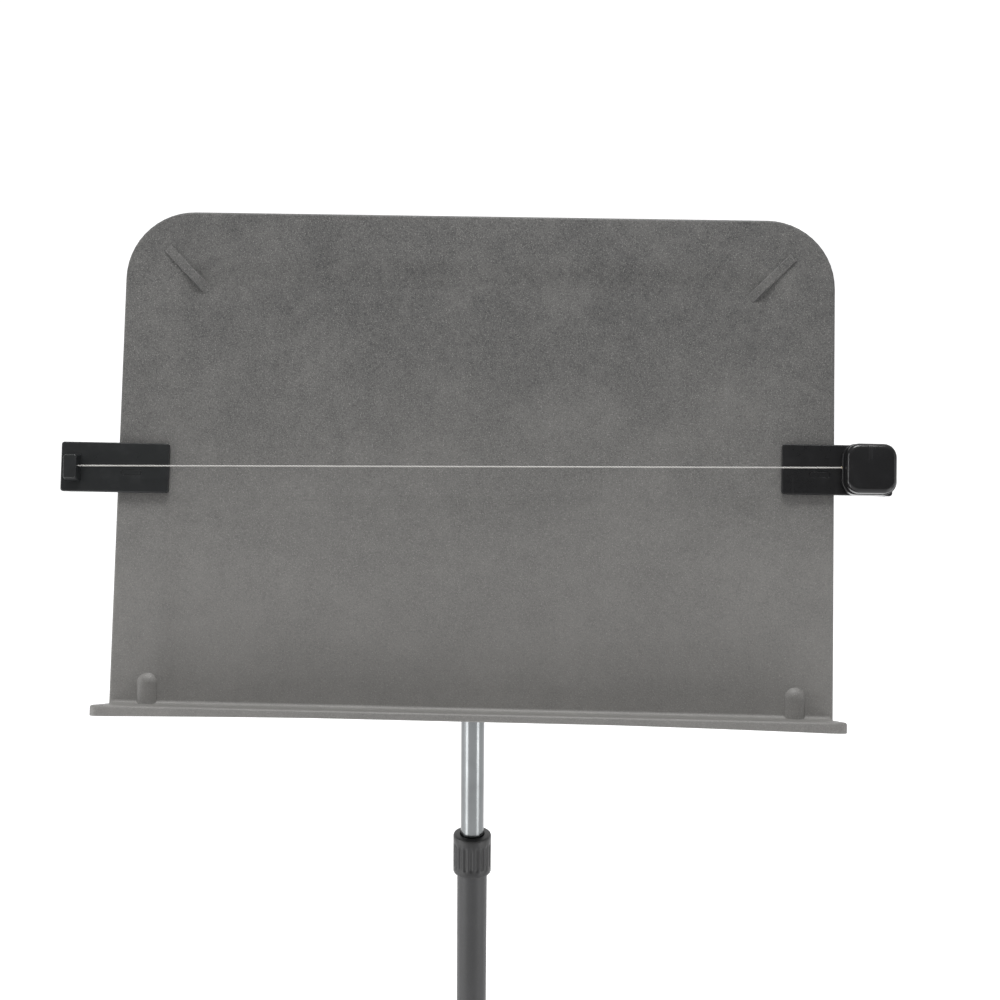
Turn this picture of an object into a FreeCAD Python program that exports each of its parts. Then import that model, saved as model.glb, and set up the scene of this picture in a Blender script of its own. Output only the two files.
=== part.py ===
"""Orchestra music stand with a clip-on page-line holder, in millimetres.

World frame: +Z up, origin on the floor on the mast's axis, -Y towards the reader.
Desk frame: x across the desk, y up the desk from the ledge's top, z out of its front.
"""
import FreeCAD
import Part
import math
import os

V = FreeCAD.Vector
X_AXIS, Y_AXIS, Z_AXIS = V(1, 0, 0), V(0, 1, 0), V(0, 0, 1)
ORIGIN = V(0, 0, 0)

# ---- desk moulding ------------------------------------------------------
DESK_WIDTH = 504.0        # panel width at the ledge
DESK_TAPER = 4.0          # how much narrower the panel is at its top
DESK_HEIGHT = 348.0       # ledge top to panel top
DESK_CORNER = 48.0        # radius of the two top corners
RIM_THICKNESS = 4.5
RIM_WIDTH = 30.0          # flat border round the dished field
RIM_ROUND = 1.5
DISH_DEPTH = 3.0
DISH_SLOPE = 22.0         # width of the slope from rim to field
DISH_WALL = 3.5
DISH_CORNER = 14.0        # corner radius of the flat field
LEDGE_DEPTH = 40.0        # ledge, out from the panel's front
LEDGE_OVERHANG = 5.0      # how far the ledge's front runs past the panel each side
LEDGE_LIP = 7.5           # height of the ledge's front face at its ends
LEDGE_ARCH = 2.5          # how far that face is cut away at its middle
LEDGE_SHELF = 3.0
LEDGE_SKIRT = 3.0
LEDGE_CORNER = 6.0
LEDGE_ROUND = 1.2
LEDGE_WEBS = 9            # stiffening webs under the ledge
WEB = 2.0                 # thickness of every moulded web
WEB_DEPTH = 6.0           # depth of the webs behind the field
WEB_COLUMNS = (48.0, 112.0, 176.0)
WEB_ROWS = (150.0, 222.0, 294.0)
CORNER_RIB_WIDTH = 6.4
CORNER_RIB_LENGTH = 46.0
CORNER_RIB_RISE = 0.5     # how far the rib stands above the rim
CORNER_RIB_SIDE = 29.0    # outer end of the rib, in from the side edge
CORNER_RIB_TOP = 26.0     # and down from the top edge
BOSS_RADIUS = 6.5         # the arched bosses at the ledge's ends
BOSS_RISE = 3.6
BOSS_TOP = 21.0
BOSS_INSET = 26.5         # boss centre, in from the side edge

# ---- tilt joint ---------------------------------------------------------
REST_TILT = 20.0          # lean of the desk from upright, degrees
PIVOT_UP = 90.0           # tilt pivot, up the desk from the ledge
PIVOT_BACK = 30.0         # and behind the rim's front
PIVOT_HEIGHT = 800.0      # above the floor, at rest
BRACKET_WIDTH = 72.0
BRACKET_HEIGHT = 66.0
BRACKET_SHEET = 2.5
BRACKET_CORNER = 6.0
EAR_BASE = 46.0           # ear height where it leaves the bracket's plate
EAR_RADIUS = 12.0
SCREW_PITCH_X = 54.0
SCREW_PITCH_Y = 46.0
SCREW_RADIUS = 2.4
SCREW_HEAD_RADIUS = 4.6
SCREW_HEAD = 2.8
SCREW_GRIP = 4.2          # how far a bracket screw goes into its boss
SCREW_BOSS_RADIUS = 6.0
SCREW_BOSS_HEIGHT = 2.0
TONGUE_THICKNESS = 12.0
PIVOT_BOLT_RADIUS = 3.0
FRICTION_WASHER = 1.5
FRICTION_RADIUS = 9.5
DISC_SPRING = 1.0
DISC_SPRING_RADIUS = 6.5
NUT_HEIGHT = 5.5
HEX_FLATS = 10.0
BOLT_HEAD = 4.0

# ---- mast ---------------------------------------------------------------
MAST_RADIUS = 8.5
MAST_WALL = 1.2
MAST_DROP = 125.4         # how far the mast can be lowered from rest
MAST_TOP_BELOW_PIVOT = 20.0
HEAD_SPIGOT = 28.0
HEAD_SHOULDER = 3.0
HEAD_PIN_RADIUS = 2.0
HEAD_PIN_DEPTH = 14.0     # below the tube's top
OUTER_GAP = 1.4           # between the mast and the outer tube's bore
OUTER_WALL = 1.2
OUTER_TOP = 600.0
BUSH_LENGTH = 26.0
BUSH_FLANGE = 2.0
COLLAR_HEIGHT = 26.0
COLLAR_WALL = 2.9
COLLAR_LIP = 2.5
CLUTCH_PLUG_DEPTH = 22.0
CLUTCH_JOURNAL_RADIUS = 5.5
CLUTCH_SLEEVE_LENGTH = 24.0
CLUTCH_SLEEVE_WALL = 2.6
CLUTCH_SLIT = 2.0
CLUTCH_END = 3.0

# ---- base ---------------------------------------------------------------
HUB_BOTTOM = 42.0
HUB_HEIGHT = 70.0
HUB_WALL = 13.0           # round the outer tube at the sockets
HUB_TOP_WALL = 4.0
HUB_CHAMFER = 2.0
HUB_FLOOR = 6.0
LEG_COUNT = 3
LEG_RADIUS = 6.5
LEG_SOCKET_DEPTH = 10.0
LEG_ROOT_HEIGHT = 84.0
LEG_KNEE_OUT = 120.0
LEG_KNEE_HEIGHT = 76.0
LEG_REACH = 290.0
LEG_TIP_HEIGHT = 15.5
LEG_BEND = 200.0
FOOT_WALL = 2.2
FOOT_GRIP = 30.0          # length of the foot's sleeve along the leg
FOOT_PAD_RADIUS = 12.0
FOOT_PAD_HEIGHT = 7.0
SET_SCREW_RADIUS = 3.0
BASE_BOLT_RADIUS = 4.0
BASE_BOLT_FLATS = 13.0
BASE_BOLT_HEAD = 5.3
BASE_WASHER_RADIUS = 10.0
BASE_WASHER = 1.6
TUBE_PLUG_LENGTH = 24.0

# ---- page-line holder: the two spring clips -----------------------------
CLIP_WIDTH = 35.0         # up the desk
CLIP_REACH = 37.0         # plate's inner end, in from the panel's edge
CLIP_LENGTH = 76.5
CLIP_PLATE = 3.5
CLIP_CORNER = 2.0
CLIP_ROUND = 1.0
PAD_THICKNESS = 1.25
PAD_INSET = 8.0           # pad's inner end, from the plate's inner end
PAD_LENGTH = 24.0
PAD_WIDTH = 30.0
HINGE_OUT = 9.0           # hinge pin, out from the panel's edge
HINGE_PIN_RADIUS = 1.5
LUG_RADIUS = 3.45
LUG_THICKNESS = 4.0
LUG_OUTER = 15.0          # outer face of the front plate's lugs, from the clip's middle
LEVER_FLARE = 14.0        # how far the back plate's grip leans away, degrees
LEVER_INSET = 2.0         # how much shorter the back plate is at each end
SPRING_WIRE = 1.0
SPRING_TURNS = 4.5
SPRING_PITCH = 1.12
SPRING_LEG = 14.0
PILL_LENGTH = 14.5
PILL_WIDTH = 4.5
PILL_GROOVE = 0.6
PILL_DEPTH = 0.3
PILL_DOWN = 3.3           # pill's middle below the clip's middle
PILL_OUT = 26.5           # and out from the plate's inner end
LEFT_CLIP_UP = 165.0      # middle of each clip, up the desk
RIGHT_CLIP_UP = 172.8

# ---- page-line holder: reel, line and docking tab -----------------------
REEL_OUT = 22.2           # reel's middle, out from the panel's edge
REEL_BASE_X, REEL_BASE_Y = 37.4, 35.2
REEL_BASE_CORNER = 9.5
REEL_BASE_HEIGHT = 9.6
REEL_CAP_SIZE = 34.2
REEL_CAP_CORNER = 9.0
REEL_CAP_HEIGHT = 11.4
REEL_CAP_ROUND = 2.8
REEL_BASE_ROUND = 0.8
REEL_PARTING = 0.4        # groove between the base and the cap
REEL_FLOOR = 1.6
REEL_CAVITY_RADIUS = 15.2
REEL_POST_RADIUS = 2.5
REEL_SCREW_RADIUS = 1.4
REEL_SCREW_HEAD_RADIUS = 2.8
REEL_SCREW_HEAD = 1.6
SPOOL_FLANGE = 1.0
SPOOL_CORE_RADIUS = 9.5
SPOOL_CORE_HEIGHT = 4.0
SPOOL_DRUM_WALL = 1.2
POWER_STRIP = 0.35
POWER_TURNS = 9
LINE_RADIUS = 0.5
LINE_OUT = 11.0           # line's height above the rim's front
LINE_OFF_REEL = 1.1       # line above the clip's middle where it enters the reel
LINE_OFF_TAB = 0.2
LINE_BEND = 4.0
EYELET_WALL = 0.7
TAB_BASE_X, TAB_BASE_Y = 11.5, 19.6
TAB_TOP_X, TAB_TOP_Y = 9.0, 16.4
TAB_HEIGHT = 10.6
TAB_CORNER = 1.6
TAB_FROM_END = 3.0        # tab's outer side, in from the plate's outer end
TAB_DOWN = 0.7            # tab's middle below the clip's middle
LINE_IN_TAB = 5.0
MAGNET_RADIUS = 4.0
MAGNET_THICKNESS = 2.0
KEEPER_RADIUS = 4.5
KEEPER_THICKNESS = 1.0
POCKET_SKIN = 0.6         # plastic left over the magnet and the keeper

# ---- clearances ---------------------------------------------------------
SEAT_GAP = 0.05           # faces that rest on each other but move apart
RUNNING = 0.06            # radial, a turning pin or shaft in its hole
SLIDING = 0.1             # radial, a tube or rod in its hole
LOOSE = 0.3               # between pieces that pass each other

# ---- worked out ---------------------------------------------------------
HALF_FOOT = DESK_WIDTH / 2
HALF_TOP = (DESK_WIDTH - DESK_TAPER) / 2
PANEL_BACK = DISH_DEPTH + DISH_WALL
MAST_BORE = MAST_RADIUS - MAST_WALL
OUTER_BORE = MAST_RADIUS + OUTER_GAP
OUTER_RADIUS = OUTER_BORE + OUTER_WALL
MAST_TOP = PIVOT_HEIGHT - MAST_TOP_BELOW_PIVOT
HUB_RADIUS = OUTER_RADIUS + HUB_WALL
OUTER_BOTTOM = HUB_BOTTOM + HUB_FLOOR
CLUTCH_STACK = 2 * CLUTCH_END + CLUTCH_SLEEVE_LENGTH + 2 * LOOSE
MAST_BOTTOM = OUTER_BOTTOM + TUBE_PLUG_LENGTH + MAST_DROP + CLUTCH_STACK
BRACKET_FRONT = PANEL_BACK + SCREW_BOSS_HEIGHT
BRACKET_BACK = BRACKET_FRONT + BRACKET_SHEET
EAR_INNER = TONGUE_THICKNESS / 2 + FRICTION_WASHER + 2 * SEAT_GAP
EAR_OUTER = EAR_INNER + BRACKET_SHEET
CLIP_BACK = PAD_THICKNESS + SEAT_GAP
CLIP_FRONT = CLIP_BACK + CLIP_PLATE
HINGE_Z = -RIM_THICKNESS / 2
LEVER_FRONT = -RIM_THICKNESS - CLIP_BACK
LEVER_BACK = LEVER_FRONT - CLIP_PLATE
REEL_PARTING_Z = CLIP_FRONT + REEL_BASE_HEIGHT
REEL_CAP_BACK = REEL_PARTING_Z + REEL_PARTING
REEL_FRONT = REEL_CAP_BACK + REEL_CAP_HEIGHT
CORE_BACK = LINE_OUT - SPOOL_CORE_HEIGHT / 2
CORE_FRONT = LINE_OUT + SPOOL_CORE_HEIGHT / 2
SPOOL_RADIUS = REEL_CAVITY_RADIUS - LOOSE
SPOOL_FRONT = REEL_FRONT - REEL_FLOOR - REEL_CAP_ROUND / 2
WOUND_RADIUS = SPOOL_CORE_RADIUS + SEAT_GAP + LINE_RADIUS


# ---- helpers ------------------------------------------------------------
def rounded_wire(points, radii):
    """A closed wire through the points, each corner rounded to its own radius."""
    corners = [V(x, y, 0) for x, y in points]
    count = len(corners)
    ends = []
    for i, corner in enumerate(corners):
        radius = radii[i] if isinstance(radii, (list, tuple)) else radii
        before = (corners[i - 1] - corner).normalize()
        after = (corners[(i + 1) % count] - corner).normalize()
        if radius <= 0:
            ends.append((corner, None, corner))
            continue
        half = before.getAngle(after) / 2
        reach = radius / math.tan(half)
        middle = corner + (before + after).normalize() * (radius / math.sin(half) - radius)
        ends.append((corner + before * reach, middle, corner + after * reach))
    edges = []
    for i, (start, middle, end) in enumerate(ends):
        if middle is not None:
            edges.append(Part.Arc(start, middle, end).toShape())
        following = ends[(i + 1) % count][0]
        if end.distanceToPoint(following) > 1e-6:
            edges.append(Part.LineSegment(end, following).toShape())
    return Part.Wire(edges)


def rectangle(width, height, radius, centre=(0, 0)):
    """A rounded rectangle's wire about a centre."""
    x, y = centre
    a, b = width / 2, height / 2
    points = [(x - a, y - b), (x + a, y - b), (x + a, y + b), (x - a, y + b)]
    return rounded_wire(points, radius)


def slab(wire, low, high):
    """The wire's area from one height to another, along z."""
    face = Part.Face(wire)
    face.translate(V(0, 0, low))
    return face.extrude(V(0, 0, high - low))


def rod(radius, low, high, centre=(0, 0)):
    """A round bar along z."""
    return Part.makeCylinder(radius, high - low, V(centre[0], centre[1], low), Z_AXIS)


def ring(outer, inner, low, high, centre=(0, 0)):
    """A round tube along z."""
    return rod(outer, low, high, centre).cut(rod(inner, low, high, centre))


def cross_rod(radius, start, end, y, z):
    """A round bar along x."""
    return Part.makeCylinder(radius, end - start, V(start, y, z), X_AXIS)


def box(x, y, z):
    """A block between two corners, each side given as (low, high)."""
    return Part.makeBox(x[1] - x[0], y[1] - y[0], z[1] - z[0], V(x[0], y[0], z[0]))


def hexagon(flats, low, high):
    """A hexagonal bar along z."""
    radius = flats / math.sqrt(3)
    turns = [k * math.pi / 3 for k in range(6)]
    corners = [(radius * math.cos(turn), radius * math.sin(turn)) for turn in turns]
    return slab(rounded_wire(corners, 0), low, high)


def along_x(shape, start):
    """Turns a shape built along z so that it runs along x from start, on the tilt pivot's axis."""
    turned = shape.copy()
    turned.Placement = FreeCAD.Placement(V(start, PIVOT_UP, -PIVOT_BACK), FreeCAD.Rotation(Y_AXIS, 90))
    return turned


def round_edges(shape, radius, wanted):
    """Fillets the edges that the test picks."""
    return shape.makeFillet(radius, [edge for edge in shape.Edges if wanted(edge)])


def at_height(z):
    """A test for edges that lie wholly at one height."""
    return lambda edge: all(abs(vertex.Z - z) < 1e-4 for vertex in edge.Vertexes)


def fused(first, *others):
    """One solid from several that meet."""
    return first.multiFuse(list(others)).removeSplitter()


def in_world():
    """The placement that carries the desk frame into the world at rest."""
    turn = FreeCAD.Rotation(X_AXIS, 90 - REST_TILT)
    pivot = turn.multVec(V(0, PIVOT_UP, -PIVOT_BACK))
    return FreeCAD.Placement(V(0, 0, PIVOT_HEIGHT) - pivot, turn)


def edge_at(up):
    """Half the panel's width at a height up the desk."""
    return HALF_FOOT - (HALF_FOOT - HALF_TOP) * up / DESK_HEIGHT


# ---- desk ---------------------------------------------------------------
def panel_wire(inset, corner, low):
    """The panel's outline moved in by an inset, from a height low up to its top."""
    top = DESK_HEIGHT - inset
    points = [
        (-edge_at(0) + inset, low),
        (edge_at(0) - inset, low),
        (edge_at(DESK_HEIGHT) - inset, top),
        (-edge_at(DESK_HEIGHT) + inset, top),
    ]
    return rounded_wire(points, [0, 0, corner, corner])


def dish_loft(front, back, front_share, back_share, low):
    """The dish's solid between two heights; a share of 0 is the rim's edge and 1 the flat field."""
    wires = []
    for z, share in ((front, front_share), (back, back_share)):
        outer_corner = DISH_CORNER + DISH_SLOPE / 2
        corner = outer_corner + (DISH_CORNER - outer_corner) * share
        wire = panel_wire(RIM_WIDTH + DISH_SLOPE * share, corner, low)
        wire.translate(V(0, 0, z))
        wires.append(wire)
    return Part.makeLoft(wires, True, True)


def ledge():
    """The ledge: a shelf with a skirt on its front and ends, arched beneath, and webs under it."""
    slope = LEDGE_OVERHANG / LEDGE_DEPTH
    front, back = LEDGE_DEPTH, -PANEL_BACK

    def plan(inset, low, high, back_inset, corner):
        wide = HALF_FOOT + LEDGE_OVERHANG - inset
        narrow = wide - (front - inset - back - back_inset) * slope
        points = [(-narrow, back + back_inset), (narrow, back + back_inset),
                  (wide, front - inset), (-wide, front - inset)]
        block = slab(rounded_wire(points, [0, 0, corner, corner]), low, high)
        block.rotate(ORIGIN, X_AXIS, 90)
        return block

    body = plan(0, 0, LEDGE_LIP, 0, LEDGE_CORNER)
    body = round_edges(body, LEDGE_ROUND, lambda e: e.BoundBox.ZMin > 0.5 and e.BoundBox.ZLength < 0.01)
    hollow = plan(LEDGE_SKIRT, LEDGE_SHELF, LEDGE_LIP, LEDGE_SKIRT, LEDGE_CORNER / 2)
    reach = HALF_FOOT - LEDGE_CORNER
    arch_ends = [V(-reach, -LEDGE_LIP, back), V(reach, -LEDGE_LIP, back)]
    crown = V(0, -LEDGE_LIP + LEDGE_ARCH, back)
    arch = Part.Wire([Part.Arc(arch_ends[0], crown, arch_ends[1]).toShape(),
                      Part.LineSegment(arch_ends[1], arch_ends[0]).toShape()])
    webs = []
    pitch = 2 * reach / (LEDGE_WEBS + 1)
    for k in range(1, LEDGE_WEBS + 1):
        x = -reach + k * pitch
        webs.append(box((x - WEB / 2, x + WEB / 2), (-LEDGE_LIP + LEDGE_ARCH, -LEDGE_SHELF / 2),
                        (back + LEDGE_SKIRT / 2, front - LEDGE_SKIRT / 2)))
    body = body.cut(hollow)
    body = fused(body, *webs)
    return body.cut(Part.Face(arch).extrude(V(0, 0, front - back)))


def corner_rib(side):
    """The raised diagonal rib that crosses the dish's slope at a top corner."""
    bar = box((0, CORNER_RIB_LENGTH), (-CORNER_RIB_WIDTH / 2, CORNER_RIB_WIDTH / 2),
              (-RIM_THICKNESS, CORNER_RIB_RISE))
    bar = round_edges(bar, CORNER_RIB_RISE * 0.8, at_height(CORNER_RIB_RISE))
    bar.rotate(ORIGIN, Z_AXIS, -135 if side > 0 else -45)
    start_x = edge_at(DESK_HEIGHT) - CORNER_RIB_SIDE
    bar.translate(V(side * start_x, DESK_HEIGHT - CORNER_RIB_TOP, 0))
    return bar


def ledge_boss(side):
    """The arched boss where the panel meets the ledge."""
    x = side * (HALF_FOOT - BOSS_INSET)
    depth = BOSS_RISE - BOSS_RADIUS
    crown = BOSS_TOP - BOSS_RADIUS
    post = Part.makeCylinder(BOSS_RADIUS, crown + LEDGE_SHELF / 2, V(x, -LEDGE_SHELF / 2, depth), Y_AXIS)
    ball = Part.makeSphere(BOSS_RADIUS, V(x, crown, depth))
    keep = box((x - BOSS_RADIUS, x + BOSS_RADIUS), (-LEDGE_SHELF, BOSS_TOP),
               (-RIM_THICKNESS / 2, BOSS_RISE))
    return post.fuse(ball).common(keep)


def screw_places():
    """The four bracket screws, in the desk frame."""
    half_x, half_y = SCREW_PITCH_X / 2, SCREW_PITCH_Y / 2
    return [(sx * half_x, PIVOT_UP + sy * half_y) for sx in (-1, 1) for sy in (-1, 1)]


def desk():
    """Panel, dish, ledge, ribs, bosses and webs as one moulding."""
    plate = slab(panel_wire(0, DESK_CORNER, -LEDGE_SHELF), -RIM_THICKNESS, 0)
    low = -LEDGE_SHELF
    plate = round_edges(plate, RIM_ROUND, lambda e: (at_height(0)(e) or at_height(-RIM_THICKNESS)(e))
                        and e.BoundBox.YMax > low + 1)
    overlap = 0.5 * RIM_THICKNESS
    back_step = PANEL_BACK - RIM_THICKNESS
    bulge = dish_loft(-RIM_THICKNESS + overlap, -PANEL_BACK, -overlap / back_step, 1, low)
    inner = DISH_DEPTH * 0.15
    hollow = dish_loft(inner, -DISH_DEPTH, -inner / DISH_DEPTH, 1, low * 2)
    web_back = -PANEL_BACK - WEB_DEPTH
    web_front = -PANEL_BACK + DISH_WALL / 2
    webs = []
    top_row = max(WEB_ROWS)
    for x in WEB_COLUMNS:
        for side in (-1, 1):
            wall = (side * x - WEB / 2, side * x + WEB / 2)
            webs.append(box(wall, (low, top_row), (web_back, web_front)))
    reach = max(WEB_COLUMNS)
    for y in WEB_ROWS:
        webs.append(box((-reach, reach), (y - WEB / 2, y + WEB / 2), (web_back, web_front)))
    bosses = [rod(SCREW_BOSS_RADIUS, -BRACKET_FRONT, web_front, place) for place in screw_places()]
    body = fused(plate, bulge).cut(hollow)
    raised = [corner_rib(-1), corner_rib(1), ledge_boss(-1), ledge_boss(1)]
    body = fused(body, ledge(), *raised, *webs, *bosses)
    hole_end = -BRACKET_FRONT + SCREW_GRIP + LOOSE
    for place in screw_places():
        body = body.cut(rod(SCREW_RADIUS + SLIDING, -BRACKET_FRONT, hole_end, place))
    return body


# ---- tilt joint ---------------------------------------------------------
def tilt_bracket():
    """The steel bracket: a plate screwed to the desk, and two ears that carry the pivot bolt."""
    plate = slab(rectangle(BRACKET_WIDTH, BRACKET_HEIGHT, BRACKET_CORNER, (0, PIVOT_UP)),
                 -BRACKET_BACK, -BRACKET_FRONT - SEAT_GAP)
    ears = []
    for side in (-1, 1):
        inner, outer = sorted((side * EAR_INNER, side * EAR_OUTER))
        disc = cross_rod(EAR_RADIUS, inner, outer, PIVOT_UP, -PIVOT_BACK)
        corners = [V(inner, PIVOT_UP - EAR_BASE / 2, -BRACKET_FRONT - SEAT_GAP * 2),
                   V(inner, PIVOT_UP + EAR_BASE / 2, -BRACKET_FRONT - SEAT_GAP * 2),
                   V(inner, PIVOT_UP + EAR_RADIUS, -PIVOT_BACK),
                   V(inner, PIVOT_UP - EAR_RADIUS, -PIVOT_BACK)]
        web = Part.Face(Part.makePolygon(corners + corners[:1])).extrude(V(outer - inner, 0, 0))
        ears += [disc, web]
    body = fused(plate, *ears)
    reach = EAR_OUTER + 1
    body = body.cut(cross_rod(PIVOT_BOLT_RADIUS + RUNNING, -reach, reach, PIVOT_UP, -PIVOT_BACK))
    for place in screw_places():
        body = body.cut(rod(SCREW_RADIUS + SLIDING, -BRACKET_BACK - 1, -BRACKET_FRONT + 1, place))
    return body


def bracket_screws():
    """Four pan-head screws with cross recesses."""
    screws = []
    for place in screw_places():
        head_back = -BRACKET_BACK - SCREW_HEAD
        head = rod(SCREW_HEAD_RADIUS, head_back, -BRACKET_BACK, place)
        head = round_edges(head, SCREW_HEAD * 0.6, at_height(head_back))
        shank = rod(SCREW_RADIUS, -BRACKET_BACK, -BRACKET_FRONT + SCREW_GRIP, place)
        arm, width = SCREW_HEAD_RADIUS * 0.55, SCREW_RADIUS * 0.2
        screw = head.fuse(shank)
        for a, b in ((arm, width), (width, arm)):
            screw = screw.cut(box((place[0] - a, place[0] + a), (place[1] - b, place[1] + b),
                                  (head_back - 1, head_back + SCREW_HEAD * 0.5)))
        screws.append(screw.removeSplitter())
    return Part.makeCompound(screws)


def tilt_bolt():
    """The hexagon-head pivot bolt."""
    length = 2 * EAR_OUTER + 2 * DISC_SPRING + NUT_HEIGHT + SEAT_GAP * 4
    head = hexagon(HEX_FLATS, -BOLT_HEAD, 0)
    return along_x(fused(head, rod(PIVOT_BOLT_RADIUS, 0, length)), -EAR_OUTER - SEAT_GAP)


def disc_springs():
    """Two cone-shaped disc springs that load the friction washers."""
    rise = DISC_SPRING * 0.4
    springs = []
    for k in range(2):
        inner = PIVOT_BOLT_RADIUS + SLIDING
        outline = [V(inner, 0, rise), V(DISC_SPRING_RADIUS, 0, 0),
                   V(DISC_SPRING_RADIUS, 0, DISC_SPRING - rise), V(inner, 0, DISC_SPRING)]
        cone = Part.Face(Part.makePolygon(outline + outline[:1])).revolve(ORIGIN, Z_AXIS, 360)
        springs.append(along_x(cone, EAR_OUTER + SEAT_GAP + k * (DISC_SPRING + SEAT_GAP / 2)))
    return Part.makeCompound(springs)


def tilt_nut():
    """The locking nut, with its round nylon collar."""
    body = hexagon(HEX_FLATS, 0, NUT_HEIGHT * 0.72)
    body = body.fuse(rod(HEX_FLATS * 0.44, NUT_HEIGHT * 0.7, NUT_HEIGHT))
    body = body.cut(rod(PIVOT_BOLT_RADIUS + SLIDING / 2, -1, NUT_HEIGHT + 1)).removeSplitter()
    return along_x(body, EAR_OUTER + 2 * DISC_SPRING + SEAT_GAP * 2.5)


def friction_washer(side):
    """A fibre washer between the head's tongue and one ear."""
    start = TONGUE_THICKNESS / 2 + SEAT_GAP
    washer = ring(FRICTION_RADIUS, PIVOT_BOLT_RADIUS + RUNNING, 0, FRICTION_WASHER)
    return along_x(washer, start if side > 0 else -start - FRICTION_WASHER)


def tilt_head():
    """The head on the mast: spigot, shoulder, and the tongue that the bolt passes through."""
    spigot = rod(MAST_BORE - SLIDING, MAST_TOP - HEAD_SPIGOT, MAST_TOP + HEAD_SHOULDER / 2)
    shoulder = rod(MAST_RADIUS, MAST_TOP, MAST_TOP + HEAD_SHOULDER)
    half = TONGUE_THICKNESS / 2
    width = math.sqrt(MAST_RADIUS ** 2 - half ** 2)
    tongue = box((-half, half), (-width, width), (MAST_TOP + HEAD_SHOULDER / 2, PIVOT_HEIGHT))
    neck = box((-half, half), (-MAST_RADIUS, MAST_RADIUS),
               (PIVOT_HEIGHT - MAST_RADIUS * 0.6, PIVOT_HEIGHT))
    eye = cross_rod(MAST_RADIUS, -half, half, 0, PIVOT_HEIGHT)
    body = fused(spigot, shoulder, tongue, neck, eye)
    body = body.cut(cross_rod(PIVOT_BOLT_RADIUS + RUNNING, -MAST_RADIUS, MAST_RADIUS, 0, PIVOT_HEIGHT))
    return body.cut(head_pin_bore())


def head_pin_bore():
    """The hole for the head's pin, through the mast and the spigot."""
    return cross_rod(HEAD_PIN_RADIUS, -MAST_RADIUS - 1, MAST_RADIUS + 1, 0, MAST_TOP - HEAD_PIN_DEPTH)


def head_pin():
    """The slotted spring pin that holds the head in the mast."""
    radius = HEAD_PIN_RADIUS - RUNNING / 2
    return cross_rod(radius, -MAST_RADIUS, MAST_RADIUS, 0, MAST_TOP - HEAD_PIN_DEPTH)


# ---- mast and clutch ----------------------------------------------------
def inner_tube():
    """The plated mast tube that slides and turns in the outer tube."""
    return ring(MAST_RADIUS, MAST_BORE, MAST_BOTTOM, MAST_TOP).cut(head_pin_bore())


def clutch_plug():
    """The plug in the mast's foot, with the journal that the friction sleeve turns on."""
    stem = rod(MAST_BORE - SLIDING / 2, MAST_BOTTOM, MAST_BOTTOM + CLUTCH_PLUG_DEPTH)
    flange = rod(MAST_RADIUS, MAST_BOTTOM - CLUTCH_END, MAST_BOTTOM)
    journal_end = MAST_BOTTOM - CLUTCH_END - CLUTCH_SLEEVE_LENGTH - 2 * LOOSE
    journal = rod(CLUTCH_JOURNAL_RADIUS, journal_end, MAST_BOTTOM - CLUTCH_END)
    hole = rod(SCREW_RADIUS + SLIDING, journal_end - 1, journal_end + BUSH_LENGTH / 2)
    return fused(stem, flange, journal).cut(hole)


def clutch_retainer():
    """The washer-head screw that keeps the sleeve on its journal."""
    top = MAST_BOTTOM - CLUTCH_END - CLUTCH_SLEEVE_LENGTH - 2 * LOOSE
    head = rod(MAST_RADIUS - LOOSE, top - CLUTCH_END, top)
    return fused(head, rod(SCREW_RADIUS, top, top + BUSH_LENGTH / 2 - LOOSE))


def split_ring(outer, inner, low, high):
    """A tube with a slit down one side."""
    slit = box((0, outer + 1), (-CLUTCH_SLIT / 2, CLUTCH_SLIT / 2), (low - 1, high + 1))
    return ring(outer, inner, low, high).cut(slit)


def clutch_sleeve():
    """The split nylon sleeve that rubs in the outer tube's bore."""
    high = MAST_BOTTOM - CLUTCH_END - LOOSE
    outer = OUTER_BORE - RUNNING
    return split_ring(outer, outer - CLUTCH_SLEEVE_WALL, high - CLUTCH_SLEEVE_LENGTH, high)


def clutch_expander():
    """The split steel spring that presses the sleeve outwards and turns on the journal."""
    high = MAST_BOTTOM - CLUTCH_END - LOOSE - CLUTCH_SLIT
    low = high - CLUTCH_SLEEVE_LENGTH + 2 * CLUTCH_SLIT
    outer = OUTER_BORE - RUNNING - CLUTCH_SLEEVE_WALL - SEAT_GAP
    return split_ring(outer, CLUTCH_JOURNAL_RADIUS + RUNNING, low, high)


def outer_tube():
    """The fixed lower tube."""
    return ring(OUTER_RADIUS, OUTER_BORE, OUTER_BOTTOM, OUTER_TOP)


def guide_bush():
    """The flanged nylon bush in the outer tube's mouth."""
    flange = ring(OUTER_RADIUS, MAST_RADIUS + SLIDING, OUTER_TOP, OUTER_TOP + BUSH_FLANGE)
    sleeve = ring(OUTER_BORE - SLIDING / 2, MAST_RADIUS + SLIDING, OUTER_TOP - BUSH_LENGTH, OUTER_TOP)
    return fused(flange, sleeve)


def collar():
    """The cap ring over the outer tube's mouth that keeps the bush in."""
    outer = OUTER_RADIUS + COLLAR_WALL
    top = OUTER_TOP + BUSH_FLANGE + COLLAR_LIP
    body = rod(outer, OUTER_TOP - COLLAR_HEIGHT, top)
    body = round_edges(body, COLLAR_WALL * 0.55, at_height(top))
    bore = rod(OUTER_RADIUS + RUNNING, OUTER_TOP - COLLAR_HEIGHT - 1, OUTER_TOP + BUSH_FLANGE + RUNNING)
    body = body.cut(bore)
    return body.cut(rod(MAST_RADIUS + LOOSE, OUTER_TOP, top + 1))


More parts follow.
